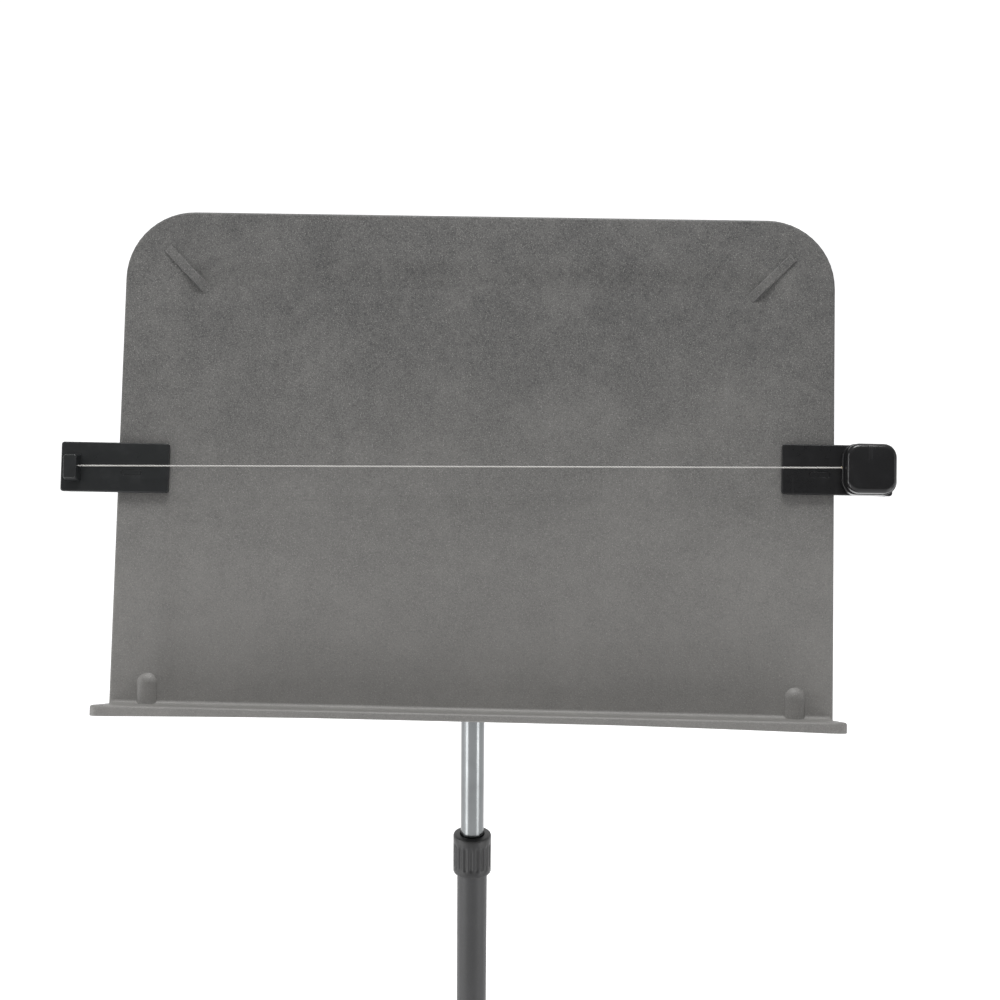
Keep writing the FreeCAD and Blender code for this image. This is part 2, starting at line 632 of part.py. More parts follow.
# ---- base ---------------------------------------------------------------
def leg_path(start_out):
    """The leg's centreline in the x-z plane: two straight runs joined by a tangent arc."""
    root = V(start_out, 0, LEG_ROOT_HEIGHT)
    knee = V(LEG_KNEE_OUT, 0, LEG_KNEE_HEIGHT)
    tip = V(LEG_REACH, 0, LEG_TIP_HEIGHT)
    back, on = (root - knee).normalize(), (tip - knee).normalize()
    half = back.getAngle(on) / 2
    reach = LEG_BEND / math.tan(half)
    middle = knee + (back + on).normalize() * (LEG_BEND / math.sin(half) - LEG_BEND)
    first, second = knee + back * reach, knee + on * reach
    edges = [Part.LineSegment(root, first).toShape(), Part.Arc(first, middle, second).toShape(),
             Part.LineSegment(second, tip).toShape()]
    return Part.Wire(edges), back, on, tip


def leg_bar(radius, start_out):
    """A round bar along the leg's centreline."""
    wire, back, _, _ = leg_path(start_out)
    profile = Part.Wire([Part.makeCircle(radius, V(start_out, 0, LEG_ROOT_HEIGHT), back)])
    return wire.makePipeShell([profile], True, True)


def socket_floor():
    """How far from the mast's axis a leg's inner end sits."""
    return HUB_RADIUS - LEG_SOCKET_DEPTH


def around(shape, k):
    """A copy turned to leg k's place; leg 0 points backwards."""
    turned = shape.copy()
    turned.rotate(ORIGIN, Z_AXIS, 90 + k * 360 / LEG_COUNT)
    return turned


def leg():
    """One bent steel rod."""
    return leg_bar(LEG_RADIUS, socket_floor() + LOOSE)


def foot():
    """The rubber foot: a sleeve on the leg's end over a flat pad."""
    _, _, direction, tip = leg_path(socket_floor())
    outer = LEG_RADIUS + FOOT_WALL
    sleeve = Part.makeCylinder(outer, FOOT_GRIP + FOOT_WALL, tip - direction * FOOT_GRIP, direction)
    pad = rod(FOOT_PAD_RADIUS, 0, FOOT_PAD_HEIGHT, (tip.x - FOOT_PAD_RADIUS * 0.6, 0))
    post = rod(outer * 0.85, 0, LEG_TIP_HEIGHT, (tip.x - FOOT_PAD_RADIUS * 0.6, 0))
    pad = round_edges(pad, FOOT_WALL * 0.7, at_height(FOOT_PAD_HEIGHT))
    grip = FOOT_GRIP + 1
    bore = Part.makeCylinder(LEG_RADIUS + SEAT_GAP, grip, tip - direction * grip, direction)
    floor = box((0, 2 * LEG_REACH), (-LEG_REACH, LEG_REACH), (-LEG_REACH, 0))
    return fused(sleeve, post, pad).cut(bore).cut(floor)


def hub():
    """The cast hub: seat for the outer tube, and three sockets for the legs."""
    top = HUB_BOTTOM + HUB_HEIGHT
    shoulder = LEG_ROOT_HEIGHT + LEG_RADIUS + HUB_FLOOR
    neck = OUTER_RADIUS + HUB_TOP_WALL
    outline = [(0, HUB_BOTTOM), (HUB_RADIUS - HUB_CHAMFER, HUB_BOTTOM),
               (HUB_RADIUS, HUB_BOTTOM + HUB_CHAMFER),
               (HUB_RADIUS, shoulder - HUB_TOP_WALL), (neck + HUB_TOP_WALL, shoulder + HUB_TOP_WALL),
               (neck, top), (0, top)]
    corners = [V(x, 0, z) for x, z in outline]
    body = Part.Face(Part.makePolygon(corners + corners[:1])).revolve(ORIGIN, Z_AXIS, 360)
    body = body.cut(rod(OUTER_RADIUS + SLIDING / 2, OUTER_BOTTOM, top + 1))
    body = body.cut(rod(BASE_BOLT_RADIUS + LOOSE, HUB_BOTTOM - 1, OUTER_BOTTOM + 1))
    for k in range(LEG_COUNT):
        body = body.cut(around(leg_bar(LEG_RADIUS + SLIDING / 2, socket_floor()), k))
        body = body.cut(around(set_screw(SLIDING / 2), k))
    return body


def set_screw_out():
    """How far from the mast's axis the grub screws stand."""
    return socket_floor() + SET_SCREW_RADIUS + LOOSE


def set_screw(extra=0.0):
    """The grub screw under a leg's socket; extra makes the hole for it."""
    top = LEG_ROOT_HEIGHT - LEG_RADIUS - LOOSE * 2
    return rod(SET_SCREW_RADIUS + extra, HUB_BOTTOM - extra, top + extra, (set_screw_out(), 0))


def leg_set_screws():
    """The three grub screws, each with its hexagon socket."""
    socket = hexagon(SET_SCREW_RADIUS, HUB_BOTTOM - 1, HUB_BOTTOM + SET_SCREW_RADIUS)
    socket.translate(V(set_screw_out(), 0, 0))
    screw = set_screw().cut(socket)
    return Part.makeCompound([around(screw, k) for k in range(LEG_COUNT)])


def tube_plug():
    """The threaded plug in the outer tube's foot."""
    body = rod(OUTER_BORE - SLIDING / 2, OUTER_BOTTOM, OUTER_BOTTOM + TUBE_PLUG_LENGTH)
    hole_end = OUTER_BOTTOM + TUBE_PLUG_LENGTH - HUB_FLOOR / 2
    return body.cut(rod(BASE_BOLT_RADIUS + RUNNING, OUTER_BOTTOM - 1, hole_end))


def tube_bolt():
    """The bolt that draws the outer tube down into the hub."""
    head_top = HUB_BOTTOM - BASE_WASHER
    head = hexagon(BASE_BOLT_FLATS, head_top - BASE_BOLT_HEAD, head_top)
    return fused(head, rod(BASE_BOLT_RADIUS, head_top, OUTER_BOTTOM + TUBE_PLUG_LENGTH - HUB_FLOOR))


def tube_washer():
    """The plain washer under that bolt's head."""
    return ring(BASE_WASHER_RADIUS, BASE_BOLT_RADIUS + SLIDING, HUB_BOTTOM - BASE_WASHER, HUB_BOTTOM)


# ---- clips: built for the right-hand side, x measured out from the panel's edge ----
def clip_ends():
    """Inner and outer end of a clip's front plate."""
    return -CLIP_REACH, CLIP_LENGTH - CLIP_REACH


def hinge_rod(radius, low, high):
    """A round bar on the clip's hinge axis, along y."""
    return Part.makeCylinder(radius, high - low, V(HINGE_OUT, low, HINGE_Z), Y_AXIS)


def lug(low, high, plate_face):
    """One hinge lug, from the pin's axis to the plate that it is moulded on."""
    root = plate_face + math.copysign(CLIP_PLATE * 0.4, plate_face)
    web = box((HINGE_OUT - LUG_RADIUS, HINGE_OUT + LUG_RADIUS), (low, high), sorted((HINGE_Z, root)))
    return hinge_rod(LUG_RADIUS, low, high).fuse(web)


def pill_groove():
    """The shallow pill-shaped outline sunk in the front plate."""
    x = -CLIP_REACH + PILL_OUT
    inset = 2 * PILL_GROOVE
    outer = slab(rectangle(PILL_LENGTH, PILL_WIDTH, PILL_WIDTH / 2 - 0.01, (x, -PILL_DOWN)),
                 CLIP_FRONT - PILL_DEPTH, CLIP_FRONT + 1)
    inner = slab(rectangle(PILL_LENGTH - inset, PILL_WIDTH - inset, PILL_WIDTH / 2 - PILL_GROOVE - 0.01,
                           (x, -PILL_DOWN)), CLIP_FRONT - PILL_DEPTH, CLIP_FRONT + 1)
    return outer.cut(inner)


def front_plate():
    """The clip's front plate with its two outer lugs."""
    inner, outer = clip_ends()
    wire = rectangle(CLIP_LENGTH, CLIP_WIDTH, CLIP_CORNER, ((inner + outer) / 2, 0))
    plate = slab(wire, CLIP_BACK, CLIP_FRONT)
    plate = round_edges(plate, CLIP_ROUND, at_height(CLIP_FRONT))
    lugs = [lug(LUG_OUTER - LUG_THICKNESS, LUG_OUTER, CLIP_BACK),
            lug(-LUG_OUTER, -LUG_OUTER + LUG_THICKNESS, CLIP_BACK)]
    body = fused(plate, *lugs).cut(pill_groove())
    return body.cut(hinge_rod(HINGE_PIN_RADIUS + RUNNING / 2, -CLIP_WIDTH, CLIP_WIDTH))


def lever_profile(front_offset, start, end):
    """Points down one face of the back plate: flat jaw, then the leaning grip."""
    drop = (end - HINGE_OUT) * math.tan(math.radians(LEVER_FLARE))
    return [(start, front_offset), (HINGE_OUT, front_offset), (end, front_offset - drop)]


def back_plate():
    """The clip's back plate: jaw, grip and the two inner lugs."""
    inner, outer = clip_ends()
    start, end = inner + LEVER_INSET, outer - LEVER_INSET
    front = lever_profile(LEVER_FRONT, start, end)
    back = lever_profile(LEVER_BACK, start, end)
    half = CLIP_WIDTH / 2 - LEVER_INSET / 2
    corners = [V(x, -half, z) for x, z in front + back[::-1]]
    plate = Part.Face(Part.makePolygon(corners + corners[:1])).extrude(V(0, 2 * half, 0))
    plate = round_edges(plate, CLIP_ROUND, lambda e: e.BoundBox.YLength > half and
                        (e.BoundBox.XMax < start + 0.01 or e.BoundBox.XMin > end - 0.01))
    high = LUG_OUTER - LUG_THICKNESS - LOOSE
    low = high - LUG_THICKNESS
    body = fused(plate, lug(low, high, LEVER_FRONT), lug(-high, -low, LEVER_FRONT))
    return body.cut(hinge_rod(HINGE_PIN_RADIUS + RUNNING, -CLIP_WIDTH, CLIP_WIDTH))


def pad(front, back):
    """A rubber grip pad between two heights."""
    x = -CLIP_REACH + PAD_INSET + PAD_LENGTH / 2
    return slab(rectangle(PAD_LENGTH, PAD_WIDTH, CLIP_CORNER, (x, 0)), back, front)


def hinge_pin():
    """The clip's steel hinge pin."""
    return hinge_rod(HINGE_PIN_RADIUS, -LUG_OUTER, LUG_OUTER)


def clip_spring():
    """The torsion spring: a coil on the hinge pin with a leg against each plate."""
    radius = LUG_RADIUS - SPRING_WIRE
    wire_radius = SPRING_WIRE / 2
    height = SPRING_TURNS * SPRING_PITCH
    room = CLIP_BACK - HINGE_Z - SEAT_GAP - wire_radius - radius
    lean = math.tan(math.radians(LEVER_FLARE))
    drop = room + SPRING_LEG * lean - wire_radius * (math.sqrt(1 + lean * lean) - 1)
    steps = int(SPRING_TURNS * 16)
    leg = (0.25, 0.5, 0.75, 1.0)
    points = [V(SPRING_LEG * share, height / 2, radius + room * share) for share in leg[::-1]]
    for k in range(steps + 1):
        angle = math.pi / 2 + 2 * math.pi * SPRING_TURNS * k / steps
        up = height / 2 - height * k / steps
        points.append(V(radius * math.cos(angle), up, radius * math.sin(angle)))
    points += [V(SPRING_LEG * share, -height / 2, -radius - drop * share) for share in leg]
    curve = Part.BSplineCurve()
    curve.interpolate(points)
    profile = Part.Wire([Part.makeCircle(wire_radius, points[0], curve.tangent(0)[0])])
    spring = Part.Wire([curve.toShape()]).makePipeShell([profile], True, False)
    spring.translate(V(HINGE_OUT, 0, HINGE_Z))
    return spring


def keeper_pocket(extra=0.0):
    """The steel disc that the docked tab's magnet holds to, or with extra its pocket."""
    x, y = tab_centre()
    top = CLIP_FRONT - POCKET_SKIN
    return rod(KEEPER_RADIUS + extra, top - KEEPER_THICKNESS - extra * 10, top + extra / 2, (x, y))


# ---- reel, line and docking tab -----------------------------------------
def reel_base():
    """The reel's lower case, with a round cavity and the line's exit."""
    centre = (REEL_OUT, 0)
    floor = CLIP_FRONT + REEL_FLOOR
    outline = rectangle(REEL_BASE_X, REEL_BASE_Y, REEL_BASE_CORNER, centre)
    body = slab(outline, CLIP_FRONT, REEL_PARTING_Z)
    body = round_edges(body, REEL_BASE_ROUND, at_height(REEL_PARTING_Z))
    body = body.cut(rod(REEL_CAVITY_RADIUS, floor, REEL_PARTING_Z + 1, centre))
    body = body.cut(rod(REEL_SCREW_RADIUS + SLIDING, CLIP_FRONT - 1, floor + 1, centre))
    return body.cut(line_bar(LINE_RADIUS + EYELET_WALL + SLIDING / 2, reel_mouth() - 2, reel_wall() + 2))


def reel_cap():
    """The reel's cap, with the post that the spool turns on."""
    centre = (REEL_OUT, 0)
    outline = rectangle(REEL_CAP_SIZE, REEL_CAP_SIZE, REEL_CAP_CORNER, centre)
    body = slab(outline, REEL_CAP_BACK, REEL_FRONT)
    body = round_edges(body, REEL_CAP_ROUND, at_height(REEL_FRONT))
    spigot = ring(REEL_CAVITY_RADIUS - SEAT_GAP + 1, REEL_CAVITY_RADIUS - 1,
                  REEL_PARTING_Z, REEL_CAP_BACK + 1, centre)
    body = body.fuse(spigot)
    body = body.cut(rod(REEL_CAVITY_RADIUS, REEL_CAP_BACK - 2, SPOOL_FRONT + LOOSE, centre))
    post = rod(REEL_POST_RADIUS, CLIP_FRONT + REEL_FLOOR + SEAT_GAP, REEL_FRONT - REEL_FLOOR, centre)
    post_hole = rod(REEL_SCREW_RADIUS + RUNNING, CLIP_FRONT, REEL_FRONT - 2 * REEL_FLOOR, centre)
    return fused(body, post).cut(post_hole)


def reel_screw():
    """The long screw from behind the front plate into the cap's post."""
    centre = (REEL_OUT, 0)
    head = rod(REEL_SCREW_HEAD_RADIUS, CLIP_BACK, CLIP_BACK + REEL_SCREW_HEAD, centre)
    return fused(head, rod(REEL_SCREW_RADIUS, CLIP_BACK, REEL_FRONT - 2 * REEL_FLOOR - LOOSE, centre))


def reel_screw_hole():
    """The stepped hole for that screw in the front plate."""
    centre = (REEL_OUT, 0)
    seat = rod(REEL_SCREW_HEAD_RADIUS + SLIDING, CLIP_BACK - 1, CLIP_BACK + REEL_SCREW_HEAD, centre)
    return seat.fuse(rod(REEL_SCREW_RADIUS + SLIDING, CLIP_BACK, CLIP_FRONT + 1, centre))


def spool():
    """The spool: a core between two flanges, and the drum that holds the power spring."""
    centre = (REEL_OUT, 0)
    drum = SPOOL_RADIUS - SPOOL_DRUM_WALL
    body = fused(
        rod(SPOOL_RADIUS, CORE_BACK - SPOOL_FLANGE, CORE_BACK, centre),
        rod(SPOOL_CORE_RADIUS, CORE_BACK, CORE_FRONT, centre),
        rod(SPOOL_RADIUS, CORE_FRONT, CORE_FRONT + SPOOL_FLANGE, centre),
        ring(SPOOL_RADIUS - LOOSE * 4, drum, CORE_FRONT + SPOOL_FLANGE, SPOOL_FRONT, centre),
    )
    return body.cut(rod(REEL_POST_RADIUS + RUNNING, CLIP_FRONT, REEL_FRONT, centre))


def power_spring():
    """The spiral strip that winds the line back in."""
    low = CORE_FRONT + SPOOL_FLANGE + LOOSE
    high = SPOOL_FRONT - LOOSE
    inner = REEL_POST_RADIUS + LOOSE
    outer = SPOOL_RADIUS - SPOOL_DRUM_WALL - 2 * LOOSE
    step = (outer - inner - POWER_STRIP) / (POWER_TURNS + 0.5)
    edges = []
    for offset, turns in ((0, POWER_TURNS * 2), (POWER_STRIP, POWER_TURNS * 2)):
        points = []
        for k in range(turns + 1):
            radius = inner + offset + k * step / 2
            points.append(V(radius * math.cos(k * math.pi), 0, 0))
        arcs = []
        for k in range(turns):
            radius = abs(points[k + 1].x - points[k].x) / 2
            middle = V((points[k].x + points[k + 1].x) / 2, radius if k % 2 == 0 else -radius, 0)
            arcs.append(Part.Arc(points[k], middle, points[k + 1]).toShape())
        edges.append(arcs)
    inside, outside = edges
    caps = [Part.LineSegment(outside[-1].Vertexes[-1].Point, inside[-1].Vertexes[-1].Point).toShape(),
            Part.LineSegment(inside[0].Vertexes[0].Point, outside[0].Vertexes[0].Point).toShape()]
    outline = Part.Wire(Part.__sortEdges__(inside + outside + caps))
    strip = slab(outline, low, high)
    strip.translate(V(REEL_OUT, 0, 0))
    return strip


def reel_mouth():
    """Where the line's eyelet starts, outside the reel."""
    return REEL_OUT - REEL_BASE_X / 2


def reel_wall():
    """Where the eyelet ends, at the cavity."""
    return REEL_OUT - REEL_CAVITY_RADIUS


def line_slope():
    """Rise of the line up the desk for each millimetre across, and its two ends' places."""
    up = RIGHT_CLIP_UP + LINE_OFF_REEL - (LEFT_CLIP_UP + LINE_OFF_TAB)
    across = edge_at(RIGHT_CLIP_UP) + reel_mouth() + edge_at(LEFT_CLIP_UP) + tab_face()
    return up / across


def line_up(x):
    """The line's height above the right clip's middle, at x out from the right edge."""
    return LINE_OFF_REEL + (x - reel_mouth()) * line_slope()


def line_bar(radius, start, end):
    """A round bar on the line's path between two places near the right clip."""
    direction = V(1, line_slope(), 0)
    length = direction.Length * (end - start)
    return Part.makeCylinder(radius, length, V(start, line_up(start), LINE_OUT), direction)


def line_eyelet():
    """The brass eyelet in the reel's side."""
    outer = LINE_RADIUS + EYELET_WALL
    mouth, wall = reel_mouth() - SEAT_GAP, reel_wall() - SEAT_GAP
    body = line_bar(outer, mouth, wall)
    return body.cut(line_bar(LINE_RADIUS + SLIDING, mouth - 1, wall + 1))


def page_line():
    """The line from tab to spool: one long run, a bend at the eyelet, and a run to the winding."""
    end = reel_wall() + LINE_RADIUS
    start = -edge_at(RIGHT_CLIP_UP) - edge_at(LEFT_CLIP_UP) - tab_face() - LINE_IN_TAB
    corner = V(end, line_up(end), LINE_OUT)
    begin = V(start, line_up(start), LINE_OUT)
    to_centre = V(REEL_OUT, 0, LINE_OUT) - corner
    layer = WOUND_RADIUS + 2 * LINE_RADIUS + SEAT_GAP
    aim = math.atan2(to_centre.y, to_centre.x) + math.asin(layer / to_centre.Length)
    away = V(math.cos(aim), math.sin(aim), 0)
    length = math.sqrt(to_centre.Length ** 2 - layer ** 2)
    back = (begin - corner).normalize()
    half = back.getAngle(away) / 2
    reach = LINE_BEND / math.tan(half)
    middle = corner + (back + away).normalize() * (LINE_BEND / math.sin(half) - LINE_BEND)
    first, second = corner + back * reach, corner + away * reach
    path = Part.Wire([Part.LineSegment(begin, first).toShape(),
                      Part.Arc(first, middle, second).toShape(),
                      Part.LineSegment(second, corner + away * (length - LINE_RADIUS)).toShape()])
    profile = Part.Wire([Part.makeCircle(LINE_RADIUS, begin, back)])
    return path.makePipeShell([profile], True, True)


def line_winding():
    """The last turns of line that stay on the spool."""
    turns = []
    count = int((SPOOL_CORE_HEIGHT - 2 * SEAT_GAP) // (2 * LINE_RADIUS + 2 * SEAT_GAP))
    pitch = SPOOL_CORE_HEIGHT / count
    for k in range(count):
        z = CORE_BACK + (k + 0.5) * pitch
        turns.append(Part.makeTorus(WOUND_RADIUS, LINE_RADIUS, V(REEL_OUT, 0, z), Z_AXIS))
    return Part.makeCompound(turns)


def tab_face():
    """The tab's inner face at the line's height, as a distance out from the left edge."""
    share = (LINE_OUT - CLIP_FRONT - SEAT_GAP) / TAB_HEIGHT
    return tab_centre()[0] - (TAB_BASE_X + (TAB_TOP_X - TAB_BASE_X) * share) / 2


def tab_centre():
    """The docked tab's middle, out from the left edge and up from the clip's middle."""
    return CLIP_LENGTH - CLIP_REACH - TAB_FROM_END - TAB_BASE_X / 2, -TAB_DOWN


def magnet_place(extra=0.0):
    """The magnet in the tab's foot, or with extra its pocket."""
    low = CLIP_FRONT + SEAT_GAP
    return rod(MAGNET_RADIUS + extra, low - extra, low + MAGNET_THICKNESS + extra / 2, tab_centre())


def dock_tab():
    """The tab on the line's end: a small tapered block with a magnet pocket and the line's hole."""
    low = CLIP_FRONT + SEAT_GAP
    wires = []
    for width, height, z in ((TAB_BASE_X, TAB_BASE_Y, low), (TAB_TOP_X, TAB_TOP_Y, low + TAB_HEIGHT)):
        wire = rectangle(width, height, TAB_CORNER, tab_centre())
        wire.translate(V(0, 0, z))
        wires.append(wire)
    body = Part.makeLoft(wires, True, True)
    body = round_edges(body, CLIP_ROUND * 0.8, at_height(low + TAB_HEIGHT))
    body = body.cut(magnet_place(RUNNING))
    hole_start = tab_face() - 3
    hole = Part.makeCylinder(LINE_RADIUS + SLIDING, LINE_IN_TAB + 3 + LOOSE,
                             V(hole_start, LINE_OFF_TAB + 3 * line_slope(), LINE_OUT),
                             V(1, -line_slope(), 0))
    return body.cut(hole)


# ---- placing and writing ------------------------------------------------
def on_right(shape):
    """Carries a clip's shape to the right-hand edge of the desk."""
    moved = shape.copy()
    moved.translate(V(edge_at(RIGHT_CLIP_UP), RIGHT_CLIP_UP, 0))
    return moved


def on_left(shape):
    """Carries a clip's shape, mirrored, to the left-hand edge of the desk."""
    moved = shape.mirror(ORIGIN, X_AXIS)
    moved.translate(V(-edge_at(LEFT_CLIP_UP), LEFT_CLIP_UP, 0))
    return moved


def desk_nodes():
    """Every node that is built in the desk frame."""
    front_pad = pad(CLIP_BACK, SEAT_GAP)
    back_pad = pad(-RIM_THICKNESS - SEAT_GAP, LEVER_FRONT)
    plate = front_plate()
    lever = back_plate()
    return {
        "desk": desk(),
        "tilt_bracket": tilt_bracket(),
        "bracket_screws": bracket_screws(),
        "tilt_bolt": tilt_bolt(),
        "tilt_nut": tilt_nut(),
        "disc_springs": disc_springs(),
        "friction_washer_left": friction_washer(-1),
        "friction_washer_right": friction_washer(1),
        "right_front_plate": on_right(plate.cut(reel_screw_hole())),
        "right_back_plate": on_right(lever),
        "right_front_pad": on_right(front_pad),
        "right_back_pad": on_right(back_pad),
        "right_hinge_pin": on_right(hinge_pin()),
        "right_clip_spring": on_right(clip_spring()),
        "reel_base": on_right(reel_base()),
        "reel_cap": on_right(reel_cap()),
        "reel_screw": on_right(reel_screw()),
        "spool": on_right(spool()),
        "power_spring": on_right(power_spring()),
        "line_eyelet": on_right(line_eyelet()),
        "line_winding": on_right(line_winding()),
        "page_line": on_right(page_line()),
        "left_front_plate": on_left(plate.cut(keeper_pocket(SLIDING))),
        "left_back_plate": on_left(lever),
        "left_front_pad": on_left(front_pad),
        "left_back_pad": on_left(back_pad),
        "left_hinge_pin": on_left(hinge_pin()),
        "left_clip_spring": on_left(clip_spring()),
        "keeper_disc": on_left(keeper_pocket()),
        "dock_tab": on_left(dock_tab()),
        "tab_magnet": on_left(magnet_place()),
    }


def world_nodes():
    """Every node that is built in the world frame."""
    nodes = {
        "tilt_head": tilt_head(),
        "head_pin": head_pin(),
        "inner_tube": inner_tube(),
        "clutch_plug": clutch_plug(),
        "clutch_retainer": clutch_retainer(),
        "clutch_sleeve": clutch_sleeve(),
        "clutch_expander": clutch_expander(),
        "outer_tube": outer_tube(),
        "guide_bush": guide_bush(),
        "collar": collar(),
        "hub": hub(),
        "leg_set_screws": leg_set_screws(),
        "tube_plug": tube_plug(),
        "tube_bolt": tube_bolt(),
        "tube_washer": tube_washer(),
    }
    for k, place in enumerate(("rear", "front_left", "front_right")):
        nodes["leg_" + place] = around(leg(), k)
        nodes["foot_" + place] = around(foot(), k)
    return nodes


def main():
    os.makedirs("parts", exist_ok=True)
    nodes = world_nodes()
    placement = in_world()
    for name, shape in desk_nodes().items():
        nodes[name] = shape.transformed(placement.toMatrix())
    for name, shape in sorted(nodes.items()):
        for solid in shape.Solids:
            if not solid.isValid() or solid.Volume <= 0:
                raise ValueError(name + " is not a sound solid")
        shape.exportStep("parts/" + name + ".step")
        print(name, len(shape.Solids), round(shape.Volume, 1))


main()
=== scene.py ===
"""Looks of an orchestra music stand that carries a clip-on, retractable page line.

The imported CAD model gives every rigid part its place. This script dresses those parts, makes the moulded and
sprung pieces as worked-out surfaces, and sets the camera, the light and the floor.
"""

from __future__ import annotations

import logging
import math
from dataclasses import dataclass, field
from enum import Enum
from typing import Any, Iterable, Sequence, Union

import bmesh
import bpy
import numpy as np
from mathutils import Matrix, Vector


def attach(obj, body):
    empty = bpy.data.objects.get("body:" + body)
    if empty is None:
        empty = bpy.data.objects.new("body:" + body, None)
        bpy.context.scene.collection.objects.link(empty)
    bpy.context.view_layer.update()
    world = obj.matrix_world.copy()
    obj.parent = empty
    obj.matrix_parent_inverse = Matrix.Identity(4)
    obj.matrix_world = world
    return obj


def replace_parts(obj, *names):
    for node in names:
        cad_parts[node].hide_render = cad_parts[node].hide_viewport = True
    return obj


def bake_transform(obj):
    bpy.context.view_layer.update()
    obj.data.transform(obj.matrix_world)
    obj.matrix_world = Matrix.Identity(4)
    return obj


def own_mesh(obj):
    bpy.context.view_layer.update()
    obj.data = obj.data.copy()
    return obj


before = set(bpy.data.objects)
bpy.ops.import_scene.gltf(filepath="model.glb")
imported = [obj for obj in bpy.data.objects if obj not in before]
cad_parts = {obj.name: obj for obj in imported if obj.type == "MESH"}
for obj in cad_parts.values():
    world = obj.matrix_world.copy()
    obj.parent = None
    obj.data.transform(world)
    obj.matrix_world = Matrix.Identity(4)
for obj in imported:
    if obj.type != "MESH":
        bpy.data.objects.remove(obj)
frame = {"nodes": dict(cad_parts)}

LOG = logging.getLogger("music_stand")
MM = 0.001
Colour = tuple[float, float, float]
Input = Union["Value", bpy.types.NodeSocket, float, Sequence[float]]


# ---- the desk's own axes ------------------------------------------------
@dataclass(frozen=True)
class DeskFrame:
    """The desk's axes at rest, in mm: x across, y up the panel from the ledge's top, z out of the front."""

    lean_deg: float = 20.0
    pivot_up: float = 90.0
    pivot_back: float = 30.0
    pivot_height: float = 800.0

    def turn(self) -> np.ndarray:
        """The desk's axes as the columns of a rotation."""
        a = math.radians(90.0 - self.lean_deg)
        return np.array([[1, 0, 0], [0, math.cos(a), -math.sin(a)], [0, math.sin(a), math.cos(a)]], float)

    def base(self) -> np.ndarray:
        """Where the desk's own origin stands, in mm."""
        pivot = self.turn() @ np.array([0.0, self.pivot_up, -self.pivot_back])
        return np.array([0.0, 0.0, self.pivot_height]) - pivot

    def place(self, points: np.ndarray) -> np.ndarray:
        """Carries points from the desk's axes, in mm, to the stand's axes, in metres.

        Args:
            points: an array whose last axis holds x, y and z.

        Returns:
            The same points in the stand's axes.
        """
        return (points @ self.turn().T + self.base()) * MM


DESK_AXES = DeskFrame()


# ---- surfaces -----------------------------------------------------------
def smoothstep(t: np.ndarray) -> np.ndarray:
    """The S-shaped ramp 3t^2 - 2t^3, held at 0 and 1 outside the unit range."""
    t = np.clip(t, 0.0, 1.0)
    return t * t * (3.0 - 2.0 * t)


def quarter(start_deg: float, end_deg: float, count: int) -> np.ndarray:
    """Cosine and sine of evenly spaced angles, as rows."""
    a = np.radians(np.linspace(start_deg, end_deg, count))
    return np.stack([np.cos(a), np.sin(a)], axis=1)


